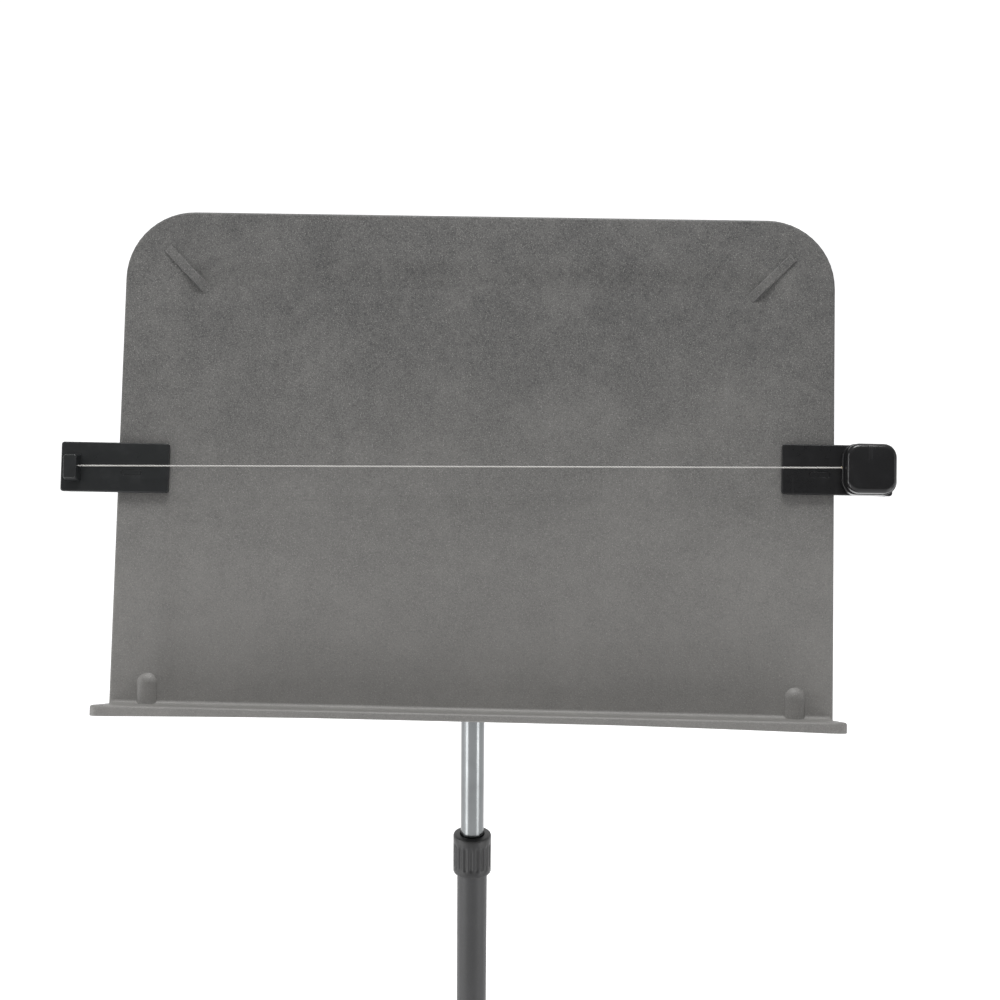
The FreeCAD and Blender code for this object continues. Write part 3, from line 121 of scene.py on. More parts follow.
class Surface:
    """Collects grids of points, in mm, into one mesh."""

    SAME_PLACE = 2e-6  # metres within which two points are one
    NO_LENGTH = 1e-7  # metres below which an edge is dropped

    def __init__(self) -> None:
        """Starts with no points."""
        self._points: list[np.ndarray] = []
        self._faces: list[np.ndarray] = []
        self._uvs: list[np.ndarray] = []
        self._count = 0

    def grid(self, points: np.ndarray, wrap: bool = False) -> np.ndarray:
        """Adds a grid of points and the quads between its rows and columns.

        Args:
            points: rows by columns by 3.
            wrap: joins the last column to the first.

        Returns:
            The index of every point, rows by columns.
        """
        rows, cols = points.shape[:2]
        index = np.arange(rows * cols).reshape(rows, cols) + self._count
        self._points.append(points.reshape(-1, 3))
        u = np.broadcast_to(np.linspace(0, 1, cols)[None, :], (rows, cols))
        v = np.broadcast_to(np.linspace(0, 1, rows)[:, None], (rows, cols))
        self._uvs.append(np.stack([u, v], axis=-1).reshape(-1, 2))
        self._count += rows * cols
        ring = np.concatenate([index, index[:, :1]], axis=1) if wrap else index
        self.bridge(ring[:-1], ring[1:])
        return index

    def bridge(self, low: np.ndarray, high: np.ndarray) -> None:
        """Adds quads between rows of indices that run side by side."""
        quads = np.stack([low[..., :-1], low[..., 1:], high[..., 1:], high[..., :-1]], axis=-1)
        self._faces.append(quads.reshape(-1, 4))

    def cap(self, ring: np.ndarray) -> None:
        """Closes a ring of indices with a fan to its middle point."""
        points = np.concatenate(self._points)[ring]
        self._points.append(points.mean(axis=0, keepdims=True))
        self._uvs.append(np.array([[0.5, 0.5]]))
        following = np.roll(ring, -1)
        middle = np.full_like(ring, self._count)
        self._faces.append(np.stack([ring, following, middle, middle], axis=-1))
        self._count += 1

    def rod(self, points: np.ndarray) -> None:
        """Adds a grid that wraps round and is closed at both ends."""
        index = self.grid(points, wrap=True)
        self.cap(index[0])
        self.cap(index[-1])

    def build(
        self, name: str, axes: DeskFrame | None = DESK_AXES, sharp_deg: float = 40.0
    ) -> bpy.types.Object:
        """Makes the mesh, merges its doubles, turns its faces outwards and shades it smooth.

        Args:
            name: the piece's name.
            axes: the axes that the points are in, or None for the stand's own axes.
            sharp_deg: an edge that turns by more than this stays crisp.

        Returns:
            The piece, with its object at the origin.
        """
        points = np.concatenate(self._points)
        points = axes.place(points) if axes else points * MM
        faces = np.concatenate(self._faces)
        fans = faces[:, 2] == faces[:, 3]
        mesh = bpy.data.meshes.new(name)
        mesh.from_pydata(points.tolist(), [], faces[~fans].tolist() + faces[fans][:, :3].tolist())
        layer = mesh.uv_layers.new(name="UVMap")
        corners = np.zeros(len(mesh.loops), np.int32)
        mesh.loops.foreach_get("vertex_index", corners)
        layer.data.foreach_set("uv", np.concatenate(self._uvs)[corners].astype(np.float32).ravel())
        work = bmesh.new()
        work.from_mesh(mesh)
        bmesh.ops.remove_doubles(work, verts=work.verts, dist=self.SAME_PLACE)
        bmesh.ops.dissolve_degenerate(work, edges=work.edges, dist=self.NO_LENGTH)
        bmesh.ops.recalc_face_normals(work, faces=work.faces)
        work.to_mesh(mesh)
        work.free()
        mesh.shade_smooth()
        mesh.set_sharp_from_angle(angle=math.radians(sharp_deg))
        piece = bpy.data.objects.new(name, mesh)
        bpy.context.scene.collection.objects.link(piece)
        return piece


def side_name(side: int) -> str:
    """The name of a side: 1 is right and -1 is left."""
    return "right" if side > 0 else "left"


def spread(ring: np.ndarray, centre: Sequence[float], steps: int) -> np.ndarray:
    """Outlines that grow evenly from a point up to, but without, the ring: centre + (ring - centre) * share."""
    share = np.linspace(0, 1, steps + 1)[:-1, None, None]
    return np.array(centre) + (ring[None, :, :] - np.array(centre)) * share


def nested_outlines(
    half_low: float, half_top: float, low: float, top: float, inset: np.ndarray, corner: np.ndarray,
    side: int, across: int, arc: int = 14, floor_inset: float = 0.0,
) -> np.ndarray:
    """Outlines inside one another: up the left, round a corner, over the top, round, and down the right.

    The left edge runs straight from (-(half_low - inset), low) to the corner's start. A corner is a quarter
    circle of its own radius about (-(half_top - inset - radius), top - inset - radius). The right half is the
    mirror image.

    Args:
        half_low: half the width at the lower end.
        half_top: half the width at the top.
        low: the lower end's place.
        top: the top's place.
        inset: how far in each outline lies.
        corner: each outline's corner radius.
        side: samples along an edge.
        across: samples across the top.
        arc: samples round a corner.
        floor_inset: the share of the inset that the lower end moves up by.

    Returns:
        Outlines by samples by 2.
    """
    inset, corner = inset[:, None], corner[:, None]
    reach, height, foot = half_top - inset, top - inset, low + inset * floor_inset
    t = np.linspace(0, 1, side, endpoint=False)[None, :]
    edge_x = -(half_low - inset) + t * ((half_low - inset) - reach)
    edge_y = foot + t * (height - corner - foot)
    turn = quarter(180, 90, arc)
    arc_x = -(reach - corner) + corner * turn[None, :, 0]
    arc_y = height - corner + corner * turn[None, :, 1]
    s = np.linspace(-1, 0, across // 2)[None, 1:]
    top_x, top_y = (reach - corner) * s, np.broadcast_to(height, (len(inset), s.shape[1]))
    x = np.concatenate([edge_x, arc_x, top_x], axis=1)
    y = np.concatenate([edge_y, arc_y, top_y], axis=1)
    x = np.concatenate([x, -x[:, -2::-1]], axis=1)
    y = np.concatenate([y, y[:, -2::-1]], axis=1)
    return np.stack([x, y], axis=-1)


def tube(path: np.ndarray, radius: float, sides: int, reference: Sequence[float]) -> np.ndarray:
    """A round tube along a path: each ring is the path's point plus radius times (cos a * side + sin a * up).

    Up is the reference direction made square to the path, and side is square to both.

    Args:
        path: points by 3.
        radius: the tube's radius.
        sides: points round a ring.
        reference: a direction that the path never runs along.

    Returns:
        The grid, points by sides by 3.
    """
    tangent = np.gradient(path, axis=0)
    tangent /= np.linalg.norm(tangent, axis=1, keepdims=True)
    up = np.array(reference) - (tangent @ np.array(reference))[:, None] * tangent
    up /= np.linalg.norm(up, axis=1, keepdims=True)
    across = np.cross(tangent, up)
    a = np.linspace(0, 2 * math.pi, sides, endpoint=False)[None, :, None]
    return path[:, None, :] + (across[:, None, :] * np.cos(a) + up[:, None, :] * np.sin(a)) * radius


# ---- shaders ------------------------------------------------------------
class Value:
    """One number socket of a shader, with Python's arithmetic on it."""

    def __init__(self, tree: "NodeTree", socket: bpy.types.NodeSocket) -> None:
        """Keeps the socket and the tree that it belongs to."""
        self.tree, self.socket = tree, socket

    def _maths(self, operation: str, *operands: Input) -> "Value":
        """One Math node on the operands."""
        made = self.tree.node("ShaderNodeMath", {"operation": operation}, dict(enumerate(operands)))
        return Value(self.tree, made.outputs[0])

    def __add__(self, other: Input) -> "Value":
        """self + other."""
        return self._maths("ADD", self, other)

    __radd__ = __add__

    def __mul__(self, other: Input) -> "Value":
        """self * other."""
        return self._maths("MULTIPLY", self, other)

    __rmul__ = __mul__

    def __sub__(self, other: Input) -> "Value":
        """self - other."""
        return self._maths("SUBTRACT", self, other)

    def __rsub__(self, other: Input) -> "Value":
        """other - self."""
        return self._maths("SUBTRACT", other, self)

    def sine(self) -> "Value":
        """The sine, in radians."""
        return self._maths("SINE", self)

    def between(self, low: float, high: float, least: float = 0.0, most: float = 1.0) -> "Value":
        """A smooth ramp: the least value at low and below it, the most at high and above it."""
        limits = {"From Min": low, "From Max": high, "To Min": least, "To Max": most}
        made = self.tree.node(
            "ShaderNodeMapRange", {"interpolation_type": "SMOOTHSTEP"}, {"Value": self, **limits}
        )
        return Value(self.tree, made.outputs[0])


class NodeTree:
    """A tree of shader nodes, with one way to add any node."""

    def __init__(self, tree: bpy.types.NodeTree) -> None:
        """Keeps the tree."""
        self._tree = tree

    def feed(self, target: bpy.types.NodeSocket, given: Input) -> None:
        """Gives an input its value, or the socket that feeds it.

        Args:
            target: the input.
            given: a number, a colour or vector, a socket, or an expression on sockets.
        """
        if isinstance(given, Value):
            self._tree.links.new(given.socket, target)
        elif isinstance(given, bpy.types.NodeSocket):
            self._tree.links.new(given, target)
        elif isinstance(given, (int, float)):
            target.default_value = given
        else:
            opaque = target.type == "RGBA" and len(given) == 3
            target.default_value = (*given, 1.0) if opaque else tuple(given)

    def node(
        self, kind: str, settings: dict[str, Any] | None = None, sockets: dict[str | int, Input] | None = None
    ) -> bpy.types.Node:
        """Makes any node.

        Args:
            kind: the node's type.
            settings: its properties, which are set first.
            sockets: an input's name or number, and what feeds it.

        Returns:
            The node.
        """
        made = self._tree.nodes.new(kind)
        for key, setting in (settings or {}).items():
            setattr(made, key, setting)
        for key, given in (sockets or {}).items():
            self.feed(made.inputs[key], given)
        return made


class Shader(NodeTree):
    """One material's nodes, ending in a Principled surface."""

    def __init__(self, name: str) -> None:
        """Makes an empty material with a Principled surface."""
        self.material = bpy.data.materials.new(name)
        self.material.use_nodes = True
        super().__init__(self.material.node_tree)
        self._tree.nodes.clear()
        self.surface = self.node("ShaderNodeBsdfPrincipled")
        self.node("ShaderNodeOutputMaterial", {}, {"Surface": self.surface.outputs[0]})
        self._place = self.node("ShaderNodeTexCoord")

    def object_place(self, stretch: Sequence[float] = (1.0, 1.0, 1.0)) -> bpy.types.NodeSocket:
        """The point on the piece in metres, stretched along the axes."""
        sockets = {"Vector": self._place.outputs["Object"], "Scale": stretch}
        return self.node("ShaderNodeMapping", {}, sockets).outputs[0]

    def own_map(self) -> tuple[Value, Value]:
        """The piece's own map: the share of the way round it, and the share of the way along it."""
        split = self.node("ShaderNodeSeparateXYZ", {}, {0: self._place.outputs["UV"]})
        return Value(self, split.outputs[0]), Value(self, split.outputs[1])

    def noise(
        self, size_mm: float, detail: float = 2.0, rough: float = 0.5,
        stretch: Sequence[float] = (1.0, 1.0, 1.0),
    ) -> Value:
        """Soft noise about 0.5, with features of a size in mm."""
        sockets = {"Scale": 1.0 / (size_mm * MM), "Detail": detail, "Roughness": rough}
        sockets["Vector"] = self.object_place(stretch)
        return Value(self, self.node("ShaderNodeTexNoise", {}, sockets).outputs[0])

    def specks(self, pitch_mm: float, share: float, size: float) -> Value:
        """Round specks: 1 inside a speck and 0 outside.

        Args:
            pitch_mm: the cells' size.
            share: how many of the cells hold a speck, 0 to 1.
            size: a speck's radius, in cells.

        Returns:
            The mask.
        """
        sockets = {"Vector": self.object_place(), "Scale": 1.0 / (pitch_mm * MM), "Randomness": 1.0}
        cells = self.node("ShaderNodeTexVoronoi", {}, sockets)
        split = self.node("ShaderNodeSeparateColor", {}, {0: cells.outputs["Color"]})
        chosen = Value(self, split.outputs[0]).between(1.0 - share, 1.0 - share + 0.05)
        near = 1.0 - Value(self, cells.outputs["Distance"]).between(size * 0.6, size)
        return chosen * near

    def scratches(self, pitch_mm: float, stretch: Sequence[float]) -> Value:
        """Sparse thin marks, long where the stretch is small."""
        marks = self.noise(pitch_mm, 3.0, 0.6, stretch)
        return marks.between(0.66, 0.74)

    def blend(self, share: Input, first: Input, second: Input) -> bpy.types.NodeSocket:
        """A colour between two."""
        made = self.node("ShaderNodeMix", {"data_type": "RGBA"}, {0: share, 6: first, 7: second})
        return made.outputs[2]

    def softened(self, radius_mm: float) -> bpy.types.NodeSocket:
        """The surface's normal, with each edge rounded to a small radius."""
        return self.node("ShaderNodeBevel", {"samples": 4}, {"Radius": radius_mm * MM}).outputs[0]

    def bump(self, height: Value, depth_mm: float, edge_mm: float = 0.0) -> bpy.types.NodeSocket:
        """A normal that is raised by a height of 0 to 1.

        Args:
            height: the height's value.
            depth_mm: what a height of 1 stands for.
            edge_mm: the radius that crisp edges are rounded to, or 0 to leave them.

        Returns:
            The normal.
        """
        sockets: dict[str | int, Input] = {"Height": height, "Distance": depth_mm * MM, "Strength": 1.0}
        if edge_mm:
            sockets["Normal"] = self.softened(edge_mm)
        return self.node("ShaderNodeBump", {}, sockets).outputs[0]

    def finish(self, **inputs: Input) -> bpy.types.Material:
        """Feeds the surface: Base_Color stands for the input Base Color, and so on."""
        for key, given in inputs.items():
            self.feed(self.surface.inputs[key.replace("_", " ")], given)
        return self.material


# ---- finishes -----------------------------------------------------------
@dataclass(frozen=True)
class SpeckledMoulding:
    """The desk's grey structural plastic: pebble grain, specks and mottling, with painted light that makes it
    paler near the ledge.
    """

    name: str = "speckled_grey_moulding"
    tone: Colour = (0.070, 0.0695, 0.068)
    pale: Colour = (0.290, 0.282, 0.268)
    dark: Colour = (0.036, 0.0355, 0.036)
    grain_mm: float = 1.15
    roughness: float = 0.50
    # Heights in metres over which the painted light fades out, and how much paler it makes the lower desk.
    painted_light_heights: tuple[float, float] = (0.66, 1.03)
    painted_light_share: float = 0.44

    def material(self) -> bpy.types.Material:
        """Builds the material."""
        sh = Shader(self.name)
        mottle = sh.noise(60.0, 4.0, 0.6)
        cloud = sh.noise(9.0, 4.0, 0.65)
        grain = sh.noise(self.grain_mm, 2.0, 0.55)
        pebble = sh.noise(self.grain_mm * 0.5, 1.0, 0.5)
        tone = sh.blend(grain.between(0.30, 0.56), self.dark, self.tone)
        tone = sh.blend(pebble.between(0.56, 0.74) * 0.38, tone, self.pale)
        tone = sh.blend(sh.specks(1.0, 0.26, 0.32) * 0.55, tone, self.pale)
        tone = sh.blend(sh.specks(1.7, 0.14, 0.24) * 0.55, tone, self.dark)
        tone = sh.blend(mottle.between(0.35, 0.70) * 0.10 + cloud.between(0.35, 0.70) * 0.06, tone, self.pale)
        # Painted light: the tone turns paler towards the bottom, near the ledge, and stays darker towards the
        # top.
        split = sh.node("ShaderNodeSeparateXYZ", {}, {0: sh.object_place()})
        painted_light_below = 1.0 - Value(sh, split.outputs[2]).between(*self.painted_light_heights)
        tone = sh.blend(painted_light_below * self.painted_light_share, tone, self.pale)
        scuff = sh.scratches(9.0, (1.0, 0.12, 0.12))
        rough = self.roughness + (cloud - 0.5) * 0.16 + (pebble - 0.5) * 0.18 + scuff * 0.08
        height = grain * 0.6 + pebble * 0.4
        return sh.finish(
            Base_Color=tone, Roughness=rough, Normal=sh.bump(height, 0.14), Specular_IOR_Level=0.42
        )


@dataclass(frozen=True)
class SatinMoulding:
    """Black injection-moulded plastic with a spark-eroded satin skin and handling marks."""

    name: str = "satin_black_moulding"
    tone: Colour = (0.012, 0.013, 0.0135)
    worn: Colour = (0.034, 0.035, 0.037)
    roughness: float = 0.32
    grain_mm: float = 0.5
    depth_mm: float = 0.018
    sheen: float = 0.36

    def material(self) -> bpy.types.Material:
        """Builds the material."""
        sh = Shader(self.name)
        skin = sh.noise(self.grain_mm, 2.0, 0.6)
        smear = sh.noise(14.0, 3.0, 0.6)
        marks = sh.scratches(5.0, (1.0, 0.1, 0.1))
        dust = sh.specks(2.4, 0.08, 0.16)
        tone = sh.blend(smear.between(0.45, 0.8) * 0.30, self.tone, self.worn)
        tone = sh.blend(marks * 0.35 + dust * 0.5, tone, self.worn)
        rough = self.roughness + (smear - 0.5) * 0.22 + (skin - 0.5) * 0.12 + marks * 0.12
        normal = sh.bump(skin, self.depth_mm, 0.45)
        return sh.finish(Base_Color=tone, Roughness=rough, Normal=normal, Specular_IOR_Level=self.sheen)


@dataclass(frozen=True)
class PowderCoat:
    """Dark powder coat on metal: soft orange peel, fine sparkle and dull rub marks."""

    name: str
    tone: Colour = (0.022, 0.022, 0.023)
    rubbed: Colour = (0.060, 0.060, 0.062)
    peel_mm: float = 2.2
    depth_mm: float = 0.07
    roughness: float = 0.44
    cast: float = 0.0

    def material(self) -> bpy.types.Material:
        """Builds the material."""
        sh = Shader(self.name)
        peel = sh.noise(self.peel_mm, 1.5, 0.45)
        fine = sh.noise(0.6, 1.0, 0.5)
        slow = sh.noise(30.0, 3.0, 0.6)
        sand = sh.noise(6.0, 4.0, 0.65)
        rubs = sh.scratches(12.0, (1.0, 1.0, 0.2))
        tone = sh.blend(fine.between(0.55, 0.75) * 0.22 + rubs * 0.30, self.tone, self.rubbed)
        tone = sh.blend(slow.between(0.4, 0.75) * 0.20, tone, self.rubbed)
        rough = self.roughness + (slow - 0.5) * 0.20 + (peel - 0.5) * 0.12
        normal = sh.bump(peel * 0.8 + fine * 0.2 + sand * self.cast, self.depth_mm, 0.5)
        return sh.finish(Base_Color=tone, Roughness=rough, Normal=normal, Specular_IOR_Level=0.45)


@dataclass(frozen=True)
class DrawnMetal:
    """Plated or bare metal with drawing lines along one axis, smudges and a few fine scratches."""

    name: str
    tone: Colour
    shaded: Colour
    roughness: float
    lines: Sequence[float] = (1.0, 1.0, 0.03)
    line_mm: float = 0.8
    depth_mm: float = 0.004
    patch_mm: float = 24.0

    def material(self) -> bpy.types.Material:
        """Builds the material."""
        sh = Shader(self.name)
        drawn = sh.noise(self.line_mm, 3.0, 0.6, self.lines)
        smudge = sh.noise(self.patch_mm, 3.0, 0.65)
        hair = sh.scratches(self.line_mm * 3.0, tuple(c * 0.6 + 0.02 for c in self.lines))
        pits = sh.specks(2.6, 0.10, 0.10)
        tone = sh.blend(smudge.between(0.40, 0.80) * 0.45 + pits * 0.6, self.tone, self.shaded)
        rough = self.roughness + (smudge - 0.5) * 0.18 + (drawn - 0.5) * 0.12 + hair * 0.10
        normal = sh.bump(drawn, self.depth_mm, 0.35)
        return sh.finish(Base_Color=tone, Metallic=1.0, Roughness=rough, Normal=normal)


@dataclass(frozen=True)
class SoftRubber:
    """Black rubber: matt, lightly pitted, with a bloom of pale dust."""

    name: str = "black_rubber"
    tone: Colour = (0.018, 0.018, 0.018)
    bloom: Colour = (0.070, 0.069, 0.066)

    def material(self) -> bpy.types.Material:
        """Builds the material."""
        sh = Shader(self.name)
        bloom = sh.noise(9.0, 4.0, 0.65)
        pit = sh.noise(0.9, 2.0, 0.6)
        dust = bloom.between(0.45, 0.75) * 0.5 + sh.specks(1.6, 0.12, 0.2) * 0.4
        tone = sh.blend(dust, self.tone, self.bloom)
        rough = 0.78 + (bloom - 0.5) * 0.2
        return sh.finish(Base_Color=tone, Roughness=rough, Normal=sh.bump(pit, 0.05), Specular_IOR_Level=0.35)


@dataclass(frozen=True)
class NaturalNylon:
    """Unpigmented nylon: creamy, faintly clouded, with turning marks."""

    name: str = "natural_nylon"
    tone: Colour = (0.66, 0.63, 0.54)
    cloud: Colour = (0.50, 0.46, 0.37)

    def material(self) -> bpy.types.Material:
        """Builds the material."""
        sh = Shader(self.name)
        cloud = sh.noise(5.0, 3.0, 0.6)
        turned = sh.noise(0.7, 2.0, 0.5, (0.05, 0.05, 1.0))
        tone = sh.blend(cloud.between(0.4, 0.8) * 0.6, self.tone, self.cloud)
        rough = 0.42 + (cloud - 0.5) * 0.2
        return sh.finish(Base_Color=tone, Roughness=rough, Normal=sh.bump(turned, 0.02), Subsurface_Weight=0.08)


@dataclass(frozen=True)
class BraidedLine:
    """The page line: pale coated filaments laid in a fine spiral. It reads the piece's own map."""

    name: str = "pale_braided_line"
    tone: Colour = (0.50, 0.49, 0.47)
    groove: Colour = (0.20, 0.195, 0.185)
    lays: float = 260.0
    strands: int = 3

    def material(self) -> bpy.types.Material:
        """Builds the material: strand height is the sine of the way round the line plus the way along it."""
        sh = Shader(self.name)
        around, along = sh.own_map()
        angle = around * (self.strands * 2 * math.pi) + along * (self.lays * 2 * math.pi)
        strand = angle.sine() * 0.5 + 0.5
        soil = sh.noise(30.0, 3.0, 0.6)
        tone = sh.blend(strand.between(0.05, 0.6), self.groove, self.tone)
        tone = sh.blend(soil.between(0.45, 0.8) * 0.25, tone, self.groove)
        return sh.finish(Base_Color=tone, Roughness=0.38 + (soil - 0.5) * 0.2, Normal=sh.bump(strand, 0.05))


class Finish(Enum):
    """Every finish on the stand."""

    DESK = SpeckledMoulding()
    CLIP = SatinMoulding()
    # Painted shade: the right clip wears a darker copy of the clip plastic, with less sheen than the left
    # clip's.
    CLIP_RIGHT_PAINTED_SHADE = SatinMoulding(
        "satin_black_right_clip_painted_shade", (0.008, 0.008, 0.0085), (0.022, 0.022, 0.023), 0.30, 0.5, 0.016, 0.26
    )
    REEL = SatinMoulding(
        "satin_black_reel", (0.007, 0.007, 0.0075), (0.018, 0.018, 0.019), 0.20, 0.7, 0.008, 0.36
    )
    CAP_RING = SatinMoulding(
        "satin_black_collar", (0.014, 0.014, 0.0145), (0.035, 0.035, 0.035), 0.40, 0.8, 0.03, 0.4
    )
    COATED_STEEL = PowderCoat("dark_powder_coat")
    COATED_IRON = PowderCoat("dark_powder_coat_on_iron", depth_mm=0.16, cast=0.9, roughness=0.50)
    CAST_ALLOY = DrawnMetal(
        "tumbled_alloy", (0.42, 0.42, 0.43), (0.28, 0.28, 0.29), 0.46, (1, 1, 1), 1.4, 0.02
    )
    PLATED = DrawnMetal("satin_plated_tube", (0.185, 0.193, 0.196), (0.13, 0.135, 0.138), 0.22)
    ZINC = DrawnMetal(
        "zinc_plated_steel", (0.58, 0.59, 0.60), (0.44, 0.44, 0.43), 0.33, (1, 1, 1), 0.9, 0.006, 6.0
    )
    SPRING = DrawnMetal(
        "spring_steel", (0.46, 0.47, 0.49), (0.30, 0.31, 0.34), 0.28, (1, 1, 1), 0.8, 0.004, 5.0
    )
    BRASS = DrawnMetal(
        "polished_brass", (0.80, 0.60, 0.28), (0.62, 0.44, 0.20), 0.22, (1, 1, 1), 0.6, 0.004, 3.0
    )
    MAGNET = DrawnMetal(
        "nickel_plate", (0.66, 0.64, 0.60), (0.50, 0.48, 0.45), 0.20, (1, 1, 1), 0.8, 0.003, 4.0
    )
    RUBBER = SoftRubber()
    NYLON = NaturalNylon()
    LINE = BraidedLine()


class Wardrobe:
    """Makes each finish once and hands it out."""

    def __init__(self) -> None:
        """Starts empty."""
        self._made: dict[Finish, bpy.types.Material] = {}

    def get(self, finish: Finish) -> bpy.types.Material:
        """The finish's material, made on first use."""
        if finish not in self._made:
            self._made[finish] = finish.value.material()
        return self._made[finish]

    def dress(self, piece: bpy.types.Object, finish: Finish) -> bpy.types.Object:
        """Puts a finish on every slot of a piece."""
        material = self.get(finish)
        if not piece.material_slots:
            piece.data.materials.append(material)
        for slot in piece.material_slots:
            slot.material = material
        return piece


WARDROBE = Wardrobe()


# ---- the desk moulding --------------------------------------------------
@dataclass
class DeskMoulding:
    """The desk: a dished panel with a soft rim, an arched ledge, ribs, bosses and stiffening webs. In mm."""

    half_width: float = 252.0
    half_top: float = 250.0
    height: float = 348.0
    corner: float = 48.0
    rim: float = 4.5
    edge_round: float = 1.5
    border: float = 30.0
    slope: float = 22.0
    dish: float = 3.0
    back: float = 6.5
    slope_corner: float = 25.0
    field_corner: float = 14.0
    low: float = -2.4
    ledge_half: float = 257.0
    ledge_depth: float = 40.0
    ledge_lip: float = 7.5
    ledge_arch: float = 2.5
    ledge_corner: float = 6.0
    ledge_round: float = 1.8
    lip_round: float = 0.7
    ledge_flare: float = 0.125
    shelf: float = 3.0
    skirt: float = 3.0
    fillet: float = 3.0
    flare_height: float = 11.0
    web: float = 2.0
    web_back: float = 12.5
    web_columns: tuple[float, ...] = (48.0, 112.0, 176.0)
    web_rows: tuple[float, ...] = (150.0, 222.0, 294.0)
    boss_radius: float = 6.5
    boss_rise: float = 3.6
    boss_top: float = 21.0
    boss_inset: float = 26.5
    rib_width: float = 6.4
    rib_rise: float = 1.3
    rib_length: float = 46.0
    rib_start: tuple[float, float] = (29.0, 26.0)
    screw_bosses: tuple[tuple[float, float], ...] = ((-27, 67), (27, 67), (-27, 113), (27, 113))
    pieces: list[bpy.types.Object] = field(default_factory=list)

    def corner_at(self, inset: np.ndarray) -> np.ndarray:
        """Corner radius of the outline at an inset, in straight runs: edge to border, and border to field."""
        places = [0.0, self.border, self.border + self.slope]
        return np.interp(inset, places, [self.corner, self.slope_corner, self.field_corner])

    def front(self, inset: np.ndarray) -> np.ndarray:
        """Front height at an inset: 0 on the border, then an S-shaped ramp down to the dished field."""
        return -self.dish * smoothstep((inset - self.border) / self.slope)

    def inset_of(self, x: np.ndarray, y: np.ndarray) -> np.ndarray:
        """How far in from the outline a point lies, found by closing in on the outline that holds the point."""
        side = self.half_width - (self.half_width - self.half_top) * y / self.height - np.abs(x)
        inset = np.minimum(side, self.height - y)
        for _ in range(8):
            radius = self.corner_at(inset)
            dx = np.abs(x) - (self.half_top - inset - radius)
            dy = y - (self.height - inset - radius)
            off = np.hypot(np.maximum(dx, 0), np.maximum(dy, 0)) - radius
            inset = np.where((dx > 0) & (dy > 0), inset - 0.7 * off, inset)
        return inset

    def panel(self) -> bpy.types.Object:
        """The panel: nested outlines from the front's middle, over the rounded edge, to the back's middle.

        Each outline carries its own height; the field's outlines shrink evenly to the middle of the lower edge.
        """
        r, steps = self.edge_round, 6
        turn = quarter(90, 0, 7)
        border = np.linspace(self.border + self.slope, self.border, 13)
        ramp = smoothstep((border - self.border) / self.slope)
        flat = np.array([22.0, 12.0, 5.0, 2.6])
        inset = np.concatenate([border, flat, r * (1 - turn[:, 0])])
        front = [np.full(steps, -self.dish), self.front(border), 0 * flat, -r + r * turn[:, 1]]
        back = [np.full(steps, -self.back), -self.rim - (self.back - self.rim) * ramp, 0 * flat - self.rim,
                -self.rim + r - r * turn[:, 1]]
        rings = nested_outlines(
            self.half_width, self.half_top, self.low, self.height, inset, self.corner_at(inset),
            side=30, across=44,
        )
        plan = np.concatenate([spread(rings[0], (0.0, self.low), steps), rings])
        x, y = plan[:, :, 0], plan[:, :, 1]
        face = np.stack([x, y, np.concatenate(front)[:, None] + 0 * x], axis=-1)
        rear = np.stack([x, y, np.concatenate(back)[:, None] + 0 * x], axis=-1)
        shell = Surface()
        index = shell.grid(np.concatenate([face, rear[::-1]]))
        half = len(x)
        fore, aft = index[:half], index[half:][::-1]
        for column in (0, -1):
            shell.bridge(fore[:, column][None, :], aft[:, column][None, :])
        return self._keep(shell.build("desk_panel"))

    def ledge(self) -> bpy.types.Object:
        """The ledge: nested outlines of its plan, from the top's middle, over the skirt, to the underside.

        Points below the shelf rise by the arch, a parabola that is highest at the middle of the front.
        """
        r, b, steps = self.ledge_round, self.lip_round, 3
        back, lip = -self.back, -self.ledge_lip + self.lip_round
        profile = np.concatenate([
            [(18.0, 0.0), (6.0, 0.0), (3.0, 0.0)],
            (r, -r) + quarter(90, 0, 7) * (-r, r),
            (b, lip) + quarter(0, -90, 5) * (-b, b),
            (self.skirt - b, lip) + quarter(-90, 0, 5) * (b, b),
            (self.skirt + 1.0, -self.shelf - 1.0) + quarter(0, 90, 5) * (-1.0, 1.0),
            [(9.0, -self.shelf), (18.0, -self.shelf)],
        ])
        inset, level = profile[:, 0], profile[:, 1]
        corner = np.clip(self.ledge_corner - inset, 0.6, None)
        half_back = self.ledge_half - (self.ledge_depth + self.back) * self.ledge_flare
        rings = nested_outlines(
            half_back, self.ledge_half, back, self.ledge_depth, inset, corner,
            side=10, across=90, arc=10, floor_inset=1.0,
        )
        centre = (0.0, (self.ledge_depth + back) / 2)
        plan = np.concatenate([spread(rings[0], centre, steps), rings, spread(rings[-1], centre, steps)[::-1]])
        x = plan[:, :, 0]
        height = np.concatenate([np.zeros(steps), level, np.full(steps, -self.shelf)])[:, None] + 0 * x
        arch = self.ledge_arch * np.clip(1 - (x / (self.half_width - self.ledge_corner)) ** 2, 0, None)
        height = height + arch * np.clip((-height - self.shelf) / (self.ledge_lip - self.shelf), 0, 1)
        shell = Surface()
        shell.grid(np.stack([x, height, plan[:, :, 1]], axis=-1), wrap=True)
        return self._keep(shell.build("desk_ledge", sharp_deg=50.0))

